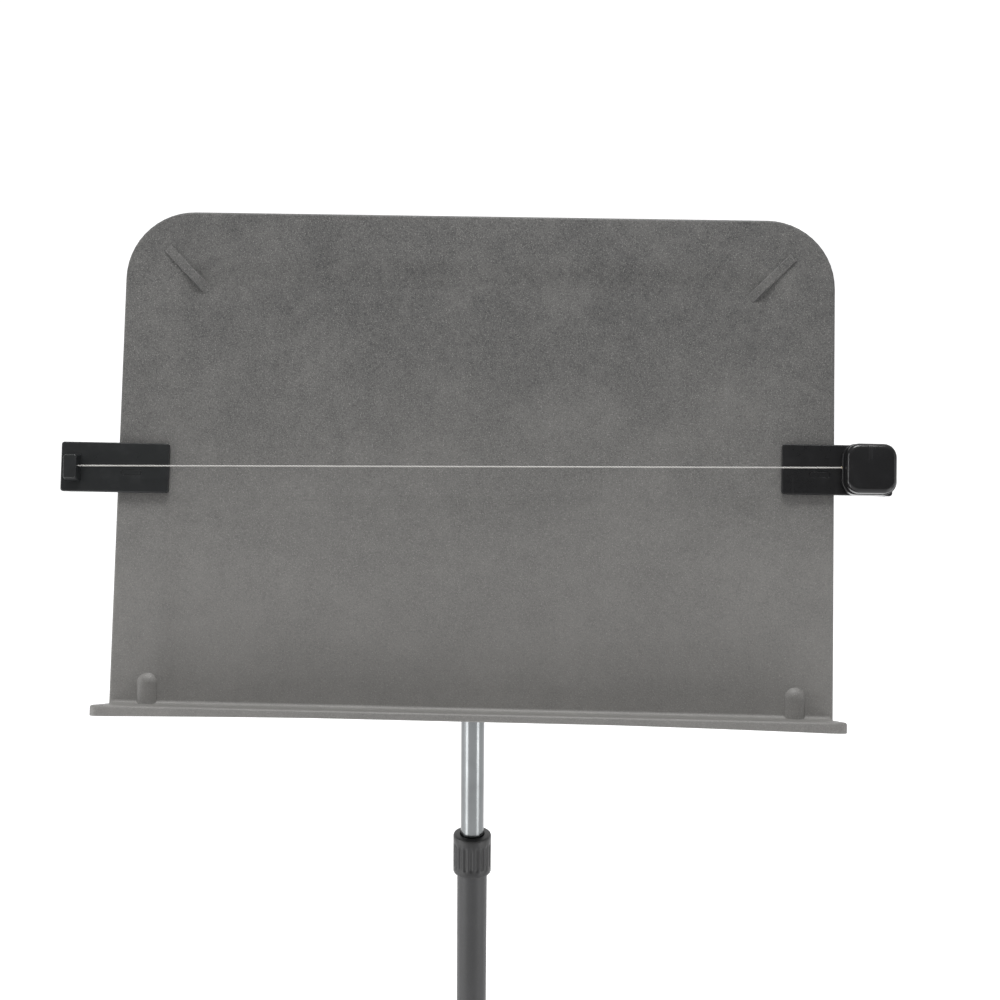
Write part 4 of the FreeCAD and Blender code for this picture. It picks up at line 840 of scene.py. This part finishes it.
    def ledge_fillet(self) -> bpy.types.Object:
        """The hollow curve between panel and ledge, carried across the panel as a closed strip.

        At each place across, the section follows a quarter circle whose hollow side faces out. Its radius fades
        towards both ends, and the section closes behind the panel's front and below the ledge's top.
        """
        sunk, deep, over, buried = 0.02, 0.8, 0.3, -0.6
        reach = self.half_width + buried
        x = np.concatenate([np.linspace(-reach, -reach + 60, 31), np.linspace(-reach + 64, reach - 64, 25),
                            np.linspace(reach - 60, reach, 31)])[:, None]
        z = self.front(self.half_width - np.abs(x))
        r = self.fillet * np.clip((self.half_width - np.abs(x)) / 2.0, 0.35, 1.0)
        turn = quarter(270, 180, 9)
        hollow_z = z + r * (1 + turn[:, 0])
        low = 0 * x + buried
        y = np.concatenate([low, r * (1 + turn[:, 1]) - sunk, r + over, low], axis=1)
        z = np.concatenate([hollow_z[:, :1], hollow_z - sunk, z - deep, z - deep], axis=1)
        shell = Surface()
        shell.rod(np.stack([x + 0 * y, y, z], axis=-1))
        return self._keep(shell.build("desk_ledge_fillet", sharp_deg=60.0))

    def end_flares(self) -> bpy.types.Object:
        """The soft flare at each end, where the panel's side curves out to the ledge.

        The outer line is a quarter ellipse, hollow side out. The section behind it is a thin wall with round
        edges.
        """
        shell = Surface()
        reach = self.ledge_half - (self.ledge_depth + 2.0) * self.ledge_flare - self.half_width + 1.1
        a = np.radians(np.linspace(180, 270, 25))
        y = self.flare_height * (1 + np.sin(a)) - 0.4
        x = self.half_width - 0.9 + reach * (1 + np.cos(a))
        turn = np.radians(np.linspace(90, -90, 9))
        half = self.rim / 2 - 0.15
        for side in (-1, 1):
            edge_x = x[:, None] - half * 0.5 + half * 0.5 * np.cos(turn)[None, :]
            edge_z = -self.rim / 2 + half * np.sin(turn)[None, :] + 0 * edge_x
            inner = np.full((len(x), 1), self.half_width - 6.0)
            grid_x = np.concatenate([inner, edge_x, inner], axis=1)
            grid_z = np.concatenate([edge_z[:, :1], edge_z, edge_z[:, -1:]], axis=1)
            shell.rod(np.stack([side * grid_x, y[:, None] + 0 * grid_x, grid_z], axis=-1))
        return self._keep(shell.build("desk_end_flares", sharp_deg=60.0))

    def _patch(
        self, name: str, x: np.ndarray, y: np.ndarray, top: np.ndarray, sink: float, lift: float = 0.2
    ) -> bpy.types.Object:
        """A raised patch: the top grid, a floor sunk below the panel's front, and the walls between them."""
        floor = self.front(self.inset_of(x, y)) - sink
        shell, rims = Surface(), []
        for z in (np.maximum(top, floor + lift), floor):
            g = shell.grid(np.stack([x, y, z], axis=-1))
            rims.append(np.concatenate([g[0, :-1], g[:-1, -1], g[-1, :0:-1], g[:0:-1, 0], g[0, :1]])[None, :])
        shell.bridge(*rims)
        return self._keep(shell.build(name, sharp_deg=55.0))

    def corner_rib(self, side: int) -> bpy.types.Object:
        """A raised rib on the diagonal of a top corner: a flat crest with tight shoulders.

        Crest height rises at once from the border, stays level over the slope, and runs down into the field.
        """
        along = np.linspace(0, self.rib_length, 90)[:, None]
        half = self.rib_width / 2
        across = np.concatenate([
            np.linspace(-half - 0.5, -half + 0.5, 9), np.linspace(-half + 1, half - 1, 7),
            np.linspace(half - 0.5, half + 0.5, 9),
        ])[None, :]
        start_x, start_y = self.half_top - self.rib_start[0], self.height - self.rib_start[1]
        d = math.sqrt(0.5)
        x = side * (start_x - along * d + across * d)
        y = start_y - along * d - across * d
        base = self.front(self.inset_of(x, y))
        fade = smoothstep((along - self.rib_length + 16) / 15)
        crest = self.rib_rise * smoothstep(along / 1.8) * (1 - fade) + (base - 0.3) * fade
        shoulder = 1 - smoothstep((np.abs(across) - half + 0.45) / 0.8)
        top = base - 0.25 + (crest - base + 0.25) * shoulder
        return self._patch("desk_corner_rib_" + side_name(side), x, y, top, sink=1.0)

    def ledge_boss(self, side: int) -> bpy.types.Object:
        """A soft arched mound at an end of the ledge: its height is (1 - (distance / radius)^2)^0.7."""
        u = np.linspace(-1, 1, 41)[None, :] * (self.boss_radius + 1.5)
        y = np.linspace(-1.6, self.boss_top + 1.5, 61)[:, None] + 0 * u
        x = side * (self.half_width - self.boss_inset) + u + 0 * y
        off = np.hypot(u + 0 * y, np.maximum(y - (self.boss_top - self.boss_radius), 0))
        share = np.clip(1 - (off / (self.boss_radius + 0.6)) ** 2, 0, 1)
        rise = self.boss_rise * share ** 0.7
        top = self.front(self.inset_of(x, y)) + rise - 0.08 * (share <= 0)
        return self._patch("desk_ledge_boss_" + side_name(side), x, y, top, sink=0.9)

    def _web(
        self, shell: Surface, start: Sequence[float], end: Sequence[float], out: np.ndarray, foot: float,
        crest: float,
    ) -> None:
        """Adds one web: a drafted section with a rounded crest, carried from start to end and closed."""
        run = np.array(end) - np.array(start)
        across = np.cross(run / np.linalg.norm(run), out)
        half, draft = self.web / 2, 0.3
        section = np.concatenate([
            [(-half - draft, foot)], (0.0, crest - half) + quarter(180, 0, 7) * half, [(half + draft, foot)],
        ])
        path = np.array(start) + run * np.linspace(0, 1, 5)[:, None]
        shell.rod(path[:, None, :] + section[None, :, 0, None] * across + section[None, :, 1, None] * out)

    def back_webs(self) -> bpy.types.Object:
        """The grid of webs behind the field, and the short webs under the ledge."""
        shell = Surface()
        out, down = np.array([0.0, 0.0, -1.0]), np.array([0.0, -1.0, 0.0])
        foot = self.back - 1.2
        for x in (side * column for column in self.web_columns for side in (-1, 1)):
            self._web(shell, (x, self.low, 0.0), (x, max(self.web_rows), 0.0), out, foot, self.web_back)
        reach = max(self.web_columns) + self.web / 2
        for y in self.web_rows:
            self._web(shell, (-reach, y, 0.0), (reach, y, 0.0), out, foot, self.web_back)
        span = self.half_width - self.ledge_corner
        crest = self.ledge_lip - self.ledge_arch
        for x in np.linspace(-span, span, 11)[1:-1]:
            start, end = (x, 0.0, -self.back + 1.5), (x, 0.0, self.ledge_depth - 1.5)
            self._web(shell, start, end, down, self.shelf - 1.2, crest)
        return self._keep(shell.build("desk_back_webs", sharp_deg=50.0))

    def bracket_bosses(self) -> bpy.types.Object:
        """The four round bosses that the tilt bracket is screwed to: a profile turned about each screw."""
        shell = Surface()
        radius = np.array([6.9, 6.3, 6.05, 5.8, 5.2, 0.0])
        level = -np.array([self.back - 0.8, self.back + 0.25, self.back + 1.2, 8.2, 8.48, 8.5])
        a = np.linspace(0, 2 * math.pi, 33)[:-1]
        for x, y in self.screw_bosses:
            grid = [x + radius[:, None] * np.cos(a), y + radius[:, None] * np.sin(a), level[:, None] + 0 * a]
            index = shell.grid(np.stack(grid, axis=-1), wrap=True)
            shell.cap(index[0])
        return self._keep(shell.build("desk_bracket_bosses", sharp_deg=50.0))

    def _keep(self, piece: bpy.types.Object) -> bpy.types.Object:
        """Dresses a piece, lets it ride with the desk, and remembers it."""
        WARDROBE.dress(piece, Finish.DESK)
        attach(piece, "desk")
        self.pieces.append(piece)
        return piece

    def build(self) -> None:
        """Makes every piece of the moulding."""
        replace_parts(self.panel(), "desk")
        self.ledge()
        self.ledge_fillet()
        self.end_flares()
        for side in (-1, 1):
            self.corner_rib(side)
            self.ledge_boss(side)
        self.back_webs()
        self.bracket_bosses()
        for piece in self.pieces:
            LOG.info("%s: %d faces", piece.name, len(piece.data.polygons))


# ---- the page line and the clips' springs -------------------------------
@dataclass
class PageLine:
    """The line from the reel's eyelet to the docked tab, which shortens as the tab is let in. In mm."""

    mouth: tuple[float, float, float] = (254.507, 173.9, 11.0)
    tab_face: tuple[float, float, float] = (-276.777, 165.2, 11.0)
    into_tab: float = 5.0
    into_reel: float = 4.0
    radius: float = 0.5
    travel: float = 529.0

    def build(self) -> bpy.types.Object:
        """Makes the line as a round tube on a straight path."""
        mouth, face = np.array(self.mouth), np.array(self.tab_face)
        span = float(np.linalg.norm(mouth - face))
        way = (mouth - face) / span
        start, end = face - way * self.into_tab, mouth + way * self.into_reel
        path = start[None, :] + (end - start)[None, :] * np.linspace(0, 1, 260)[:, None]
        grid = tube(path, self.radius, 12, reference=(0.0, 0.0, 1.0))
        shell = Surface()
        index = shell.grid(np.concatenate([grid, grid[:, :1]], axis=1))
        shell.cap(index[0, :-1])
        shell.cap(index[-1, :-1])
        piece = shell.build("page_line_taut")
        WARDROBE.dress(piece, Finish.LINE)
        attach(piece, "right_clip")
        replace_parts(piece, "page_line")
        anchor = Vector(DESK_AXES.place(mouth))
        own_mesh(piece)
        LOG.info("page line: %.0f mm between tab and reel", span)
        return piece


@dataclass
class ClipSpring:
    """A clip's torsion spring: a coil on the hinge pin, with a leg against each plate. In mm."""

    side: int
    hinge: tuple[float, float, float]
    coil: float = 2.45
    wire: float = 0.5
    turns: float = 4.5
    pitch: float = 1.12
    leg: float = 14.0
    rise: float = 0.55
    drop: float = 4.05

    def build(self) -> bpy.types.Object:
        """Makes the spring.

        The coil's point is (cos a, height falling evenly, sin a) times its radius. Each leg is a straight run
        that leaves the coil along the tangent.
        """
        height = self.turns * self.pitch
        out = np.linspace(1, 0, 12, endpoint=False)
        back = out[::-1]
        a = math.pi / 2 + np.linspace(0.0, 2 * math.pi * self.turns, int(self.turns * 30))
        fall = np.linspace(height / 2, -height / 2, len(a))
        coil = np.stack([self.coil * np.cos(a), fall, self.coil * np.sin(a)], axis=1)
        upper = np.stack([self.leg * out, height / 2 + 0 * out, self.coil + self.rise * out], axis=1)
        lower = np.stack([self.leg * back, -height / 2 + 0 * back, -self.coil - self.drop * back], axis=1)
        path = np.concatenate([upper, coil, lower]) * np.array([self.side, 1, 1]) + np.array(self.hinge)
        shell = Surface()
        shell.rod(tube(path, self.wire, 12, reference=(0.0, 1.0, 0.0)))
        name = side_name(self.side)
        piece = shell.build(f"{name}_jaw_spring")
        WARDROBE.dress(piece, Finish.SPRING)
        x, y, z = self.hinge
        start = DESK_AXES.place(np.array([x, y, z - self.coil - self.wire]))
        end = DESK_AXES.place(np.array([x, y, z - self.coil - self.drop * 0.8]))
        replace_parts(piece, f"{name}_clip_spring")
        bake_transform(piece)
        LOG.info("%s spring made", name)
        return piece


# ---- the mast's grip collar ---------------------------------------------
@dataclass
class GripCollar:
    """The moulded collar on top of the outer tube, with fingertip flutes round its middle. In mm."""

    bottom: float = 574.0
    top: float = 604.5
    outer: float = 14.0
    tube_bore: float = 11.16
    mast_bore: float = 8.8
    seat: float = 602.06
    flutes: int = 20
    flute_depth: float = 0.75

    def build(self) -> bpy.types.Object:
        """Makes the collar.

        A closed outline of radius and height is turned about the mast. Between the two plain bands the radius
        drops by the flute depth times a rounded wave of the angle, faded in and out over the band's height.
        """
        b, t, o, bore = self.bottom, self.top, self.outer, self.mast_bore
        band = np.linspace(b + 4.0, t - 5.0, 22)
        below = [(self.tube_bore, b), (o - 1.0, b), (o - 0.3, b + 0.3), (o, b + 1.0), (o, b + 3.0)]
        above = [(o, t - 3.0), (o, t - 1.4), (o - 0.4, t - 0.4), (o - 1.4, t), (bore + 0.5, t), (bore, t - 0.5),
                 (bore, self.seat), (self.tube_bore, self.seat)]
        outline = np.concatenate([below, np.stack([0 * band + o, band], axis=1), above])
        radius, height = outline[:, 0], outline[:, 1]
        fade = np.zeros(len(height))
        share = (band - band[0]) / (band[-1] - band[0])
        fade[len(below):-len(above)] = smoothstep(share / 0.16) * smoothstep((1 - share) / 0.16)
        a = np.linspace(0, 2 * math.pi, self.flutes * 10, endpoint=False)
        wave = np.clip(0.5 + 0.75 * np.cos(self.flutes * a), 0, 1)
        r = radius[:, None] - self.flute_depth * fade[:, None] * wave[None, :]
        ring = np.stack([r * np.cos(a), r * np.sin(a), height[:, None] + 0 * r], axis=-1)
        shell = Surface()
        index = shell.grid(ring, wrap=True)
        closed = np.concatenate([index, index[:, :1]], axis=1)
        shell.bridge(closed[-1:], closed[:1])
        piece = shell.build("grip_collar", axes=None, sharp_deg=35.0)
        WARDROBE.dress(piece, Finish.CAP_RING)
        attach(piece, "base")
        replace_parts(piece, "collar")
        LOG.info("grip collar with %d flutes", self.flutes)
        return piece


# ---- the reel's cap -----------------------------------------------------
@dataclass
class ReelCap:
    """The reel's cap: a cushion-shaped cover with a softly crowned face. Places in the desk's axes, in mm."""

    middle: tuple[float, float] = (273.207, 172.8)
    size: float = 34.2
    corner: float = 9.0
    low: float = 14.8
    high: float = 26.2
    roll: float = 3.6
    crown: float = 0.5
    wall: float = 1.4
    cavity: float = 15.2
    ceiling: float = 23.5
    post: float = 2.5
    post_foot: float = 6.5

    def ring(self, inset: float, rounding: float, height: float, samples: int = 25) -> np.ndarray:
        """A rounded square: four quarter circles of a radius, joined by straight sides.

        Args:
            inset: how far in the outline lies.
            rounding: the corners' radius.
            height: its place along z.
            samples: points on each corner.

        Returns:
            Points by 3.
        """
        reach = self.size / 2 - inset - rounding
        parts = []
        for k in range(4):
            a = np.radians(np.linspace(90 * k, 90 * k + 90, samples))
            sx, sy = (1 if k in (0, 3) else -1), (1 if k < 2 else -1)
            x = self.middle[0] + sx * reach + rounding * np.cos(a)
            y = self.middle[1] + sy * reach + rounding * np.sin(a)
            parts.append(np.stack([x, y, np.full(samples, height)], axis=1))
        return np.concatenate(parts)

    def circle(self, radius: float, height: float, samples: int = 100) -> np.ndarray:
        """A circle with as many points as a rounded square has, starting in the same direction."""
        a = np.linspace(0, 2 * math.pi, samples, endpoint=False) + 0.3
        x, y = self.middle[0] + radius * np.cos(a), self.middle[1] + radius * np.sin(a)
        return np.stack([x, y, np.full(samples, height)], axis=1)

    def build(self) -> bpy.types.Object:
        """Makes the cap.

        From the rim at the bottom the side goes up, rolls over by a quarter circle, and closes over a crowned
        face whose height adds crown * (1 - r^2). The inside is a round cavity with the spool's post in it.
        """
        rows = [self.ring(self.wall, self.corner - self.wall, self.low),
                self.ring(0.35, self.corner - 0.35, self.low), self.ring(0.0, self.corner, self.low + 0.4)]
        shoulder = self.high - self.crown - self.roll
        rows += [self.ring(0.0, self.corner, h) for h in np.linspace(self.low + 1.5, shoulder, 4)]
        for a in np.radians(np.linspace(0, 90, 12)[1:]):
            inset = self.roll * (1 - math.cos(a))
            rows.append(self.ring(inset, max(self.corner - inset, 0.5), shoulder + self.roll * math.sin(a)))
        for share in np.linspace(0, 1, 12)[1:-1]:
            inset = self.roll + (self.size / 2 - self.roll) * share
            rounding = max((self.corner - self.roll) * (1 - share), 0.05)
            rise = self.crown * (1 - (1 - share) ** 2)
            rows.append(self.ring(inset, rounding, self.high - self.crown + rise))
        shell = Surface()
        index = shell.grid(np.stack(rows), wrap=True)
        shell.cap(index[-1])
        cavity, ceiling, post, chamfer = self.cavity, self.ceiling, self.post, 0.8
        places = ((cavity, self.low), (cavity, ceiling - chamfer), (cavity - chamfer, ceiling), (post, ceiling),
                  (post, self.post_foot))
        hollow = shell.grid(np.stack([self.circle(*place) for place in places]), wrap=True)
        shell.cap(hollow[-1])
        shell.bridge(*(np.append(ring[0], ring[0][0])[None, :] for ring in (index, hollow)))
        piece = shell.build("reel_cushion_cap", sharp_deg=45.0)
        WARDROBE.dress(piece, Finish.REEL)
        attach(piece, "right_clip")
        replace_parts(piece, "reel_cap")
        LOG.info("reel cap: %d faces", len(piece.data.polygons))
        return piece


# ---- the CAD parts ------------------------------------------------------
@dataclass(frozen=True)
class Outfit:
    """Which CAD nodes wear which finish."""

    parts: dict[Finish, tuple[str, ...]] = field(default_factory=lambda: {
        Finish.CLIP: ("left_front_plate", "left_back_plate", "dock_tab"),
        Finish.CLIP_RIGHT_PAINTED_SHADE: ("right_front_plate", "right_back_plate"),
        Finish.REEL: ("reel_base", "reel_cap"),
        Finish.CAP_RING: ("collar", "spool"),
        Finish.COATED_STEEL: ("tilt_bracket", "outer_tube", "leg_rear", "leg_front_left", "leg_front_right"),
        Finish.COATED_IRON: ("hub",),
        Finish.CAST_ALLOY: ("tilt_head", "clutch_plug", "tube_plug"),
        Finish.PLATED: ("inner_tube",),
        Finish.ZINC: ("head_pin", "bracket_screws", "tilt_bolt", "tilt_nut", "leg_set_screws", "tube_bolt",
                      "tube_washer", "clutch_retainer", "left_hinge_pin", "right_hinge_pin", "reel_screw",
                      "keeper_disc"),
        Finish.SPRING: ("disc_springs", "clutch_expander", "power_spring", "left_clip_spring",
                        "right_clip_spring"),
        Finish.BRASS: ("line_eyelet",),
        Finish.MAGNET: ("tab_magnet",),
        Finish.RUBBER: ("foot_rear", "foot_front_left", "foot_front_right", "left_front_pad", "left_back_pad",
                        "right_front_pad", "right_back_pad"),
        Finish.NYLON: ("guide_bush", "clutch_sleeve", "friction_washer_left", "friction_washer_right"),
        Finish.LINE: ("line_winding", "page_line"),
        Finish.DESK: ("desk",),
    })

    def wear(self, nodes: dict[str, bpy.types.Object]) -> None:
        """Dresses every CAD node, and says which have been forgotten.

        Args:
            nodes: the CAD nodes by name.
        """
        for finish, names in self.parts.items():
            for name in names:
                WARDROBE.dress(nodes[name], finish)
        named = {name for names in self.parts.values() for name in names}
        for name in sorted(set(nodes) - named):
            LOG.warning("no finish for %s", name)
        LOG.info("%d CAD nodes dressed", len(named & set(nodes)))


# ---- camera, light and floor --------------------------------------------
@dataclass(frozen=True)
class Lamp:
    """One soft rectangular lamp that looks at a point. In metres and watts."""

    name: str
    place: tuple[float, float, float]
    aim: tuple[float, float, float]
    size: tuple[float, float]
    power: float

    def build(self) -> None:
        """Makes the lamp."""
        data = bpy.data.lights.new(self.name, "AREA")
        data.shape, data.size, data.size_y, data.energy = "RECTANGLE", *self.size, self.power
        lamp = bpy.data.objects.new(self.name, data)
        bpy.context.scene.collection.objects.link(lamp)
        lamp.location = self.place
        lamp.rotation_mode = "QUATERNION"
        lamp.rotation_quaternion = (Vector(self.aim) - Vector(self.place)).to_track_quat("-Z", "Y")


@dataclass(frozen=True)
class Studio:
    """A pale floor, soft light and a camera level with the desk. The eye is in the desk's axes, in mm."""

    eye: tuple[float, float, float] = (70.386, 59.251, 1400.2)
    pan_deg: float = 2.1152
    tilt_deg: float = 3.6073
    roll_deg: float = 1.2694
    lens_mm: float = 72.304
    floor_half: float = 60.0
    around: float = 0.30
    behind: float = 0.80
    above: float = 0.80
    behind_span: tuple[float, float] = (0.45, 0.85)
    above_span: tuple[float, float] = (0.35, 1.0)
    floor_glow: float = 0.52
    lamps: tuple[Lamp, ...] = (
        Lamp("overhead_softbox", (0.0, -0.22, 2.5), (0.0, 0.05, 0.9), (0.9, 0.5), 26.0),
        Lamp("left_softbox", (-1.9, -0.40, 0.95), (0.0, 0.0, 0.8), (0.5, 1.8), 14.0),
        Lamp("right_softbox", (2.1, -0.50, 1.1), (0.0, 0.0, 0.9), (0.3, 1.6), 4.0),
        Lamp("low_left_fill", (-0.85, -0.60, 0.30), (-0.20, -0.05, 0.72), (0.4, 0.4), 2.2),
        Lamp("low_right_fill", (0.95, -0.60, 0.30), (0.20, -0.05, 0.72), (0.4, 0.4), 2.2),
    )

    def camera(self) -> bpy.types.Object:
        """Makes the scene's camera, turned in the desk's axes by its roll, then its tilt, then its pan."""
        data = bpy.data.cameras.new("stand_camera")
        data.lens, data.sensor_width = self.lens_mm, 36.0
        data.clip_start, data.clip_end = 0.05, 200.0
        camera = bpy.data.objects.new("stand_camera", data)
        bpy.context.scene.collection.objects.link(camera)
        turned = Matrix(DESK_AXES.turn().tolist())
        for axis, angle in (("Y", self.pan_deg), ("X", self.tilt_deg), ("Z", self.roll_deg)):
            turned = turned @ Matrix.Rotation(math.radians(angle), 3, axis)
        matrix = turned.to_4x4()
        matrix.translation = Vector(DESK_AXES.place(np.array(self.eye)))
        camera.matrix_world = matrix
        bpy.context.scene.camera = camera
        return camera

    def room(self) -> None:
        """Room light that grows towards the back and the top. Where the lens sees it, it is plain white."""
        world = bpy.data.worlds.new("studio_world")
        bpy.context.scene.world = world
        world.use_nodes = True
        tree = NodeTree(world.node_tree)
        place = tree.node("ShaderNodeTexCoord")
        split = tree.node("ShaderNodeSeparateXYZ", {}, {0: place.outputs["Generated"]})
        rear = Value(tree, split.outputs[1]).between(*self.behind_span, 0.0, self.behind)
        high = Value(tree, split.outputs[2]).between(*self.above_span, self.around, self.above)
        seen = tree.node("ShaderNodeLightPath")
        sockets = {0: seen.outputs["Is Camera Ray"], 2: rear + high, 3: 1.0}
        glow = world.node_tree.nodes["Background"]
        tree.feed(glow.inputs["Color"], (1.0, 1.0, 1.0))
        tree.feed(glow.inputs["Strength"], tree.node("ShaderNodeMix", {}, sockets).outputs[0])

    def light(self) -> None:
        """The room light, the soft lamps, and colours shown as they are."""
        self.room()
        for lamp in self.lamps:
            lamp.build()
        view = bpy.context.scene.view_settings
        view.view_transform, view.look = "Standard", "None"

    def floor(self) -> bpy.types.Object:
        """A wide pale floor: a grid that lies level at height 0."""
        line = np.linspace(-self.floor_half, self.floor_half, 9) / MM
        x, y = np.meshgrid(line, line)
        shell = Surface()
        shell.grid(np.stack([x, y, 0 * x], axis=-1))
        floor = shell.build("studio_floor", axes=None)
        sh = Shader("pale_studio_floor")
        cloud = sh.noise(400.0, 2.0, 0.5)
        tone = sh.blend(cloud, (0.86, 0.86, 0.865), (0.88, 0.88, 0.885))
        glow = {"Emission_Color": (1.0, 1.0, 1.0), "Emission_Strength": self.floor_glow}
        floor.data.materials.append(sh.finish(Base_Color=tone, Roughness=0.85 + (cloud - 0.5) * 0.1, **glow))
        return floor


def main() -> None:
    """Builds the stand's looks in order."""
    logging.basicConfig(level=logging.INFO, format="%(name)s: %(message)s")
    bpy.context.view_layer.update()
    studio = Studio()
    studio.camera()
    studio.light()
    studio.floor()
    Outfit().wear(frame["nodes"])
    DeskMoulding().build()
    GripCollar().build()
    ReelCap().build()
    PageLine().build()
    ClipSpring(side=1, hinge=(260.007, 172.8, -2.25)).build()
    ClipSpring(side=-1, hinge=(-260.052, 165.0, -2.25)).build()


if __name__ == "__main__":
    main()
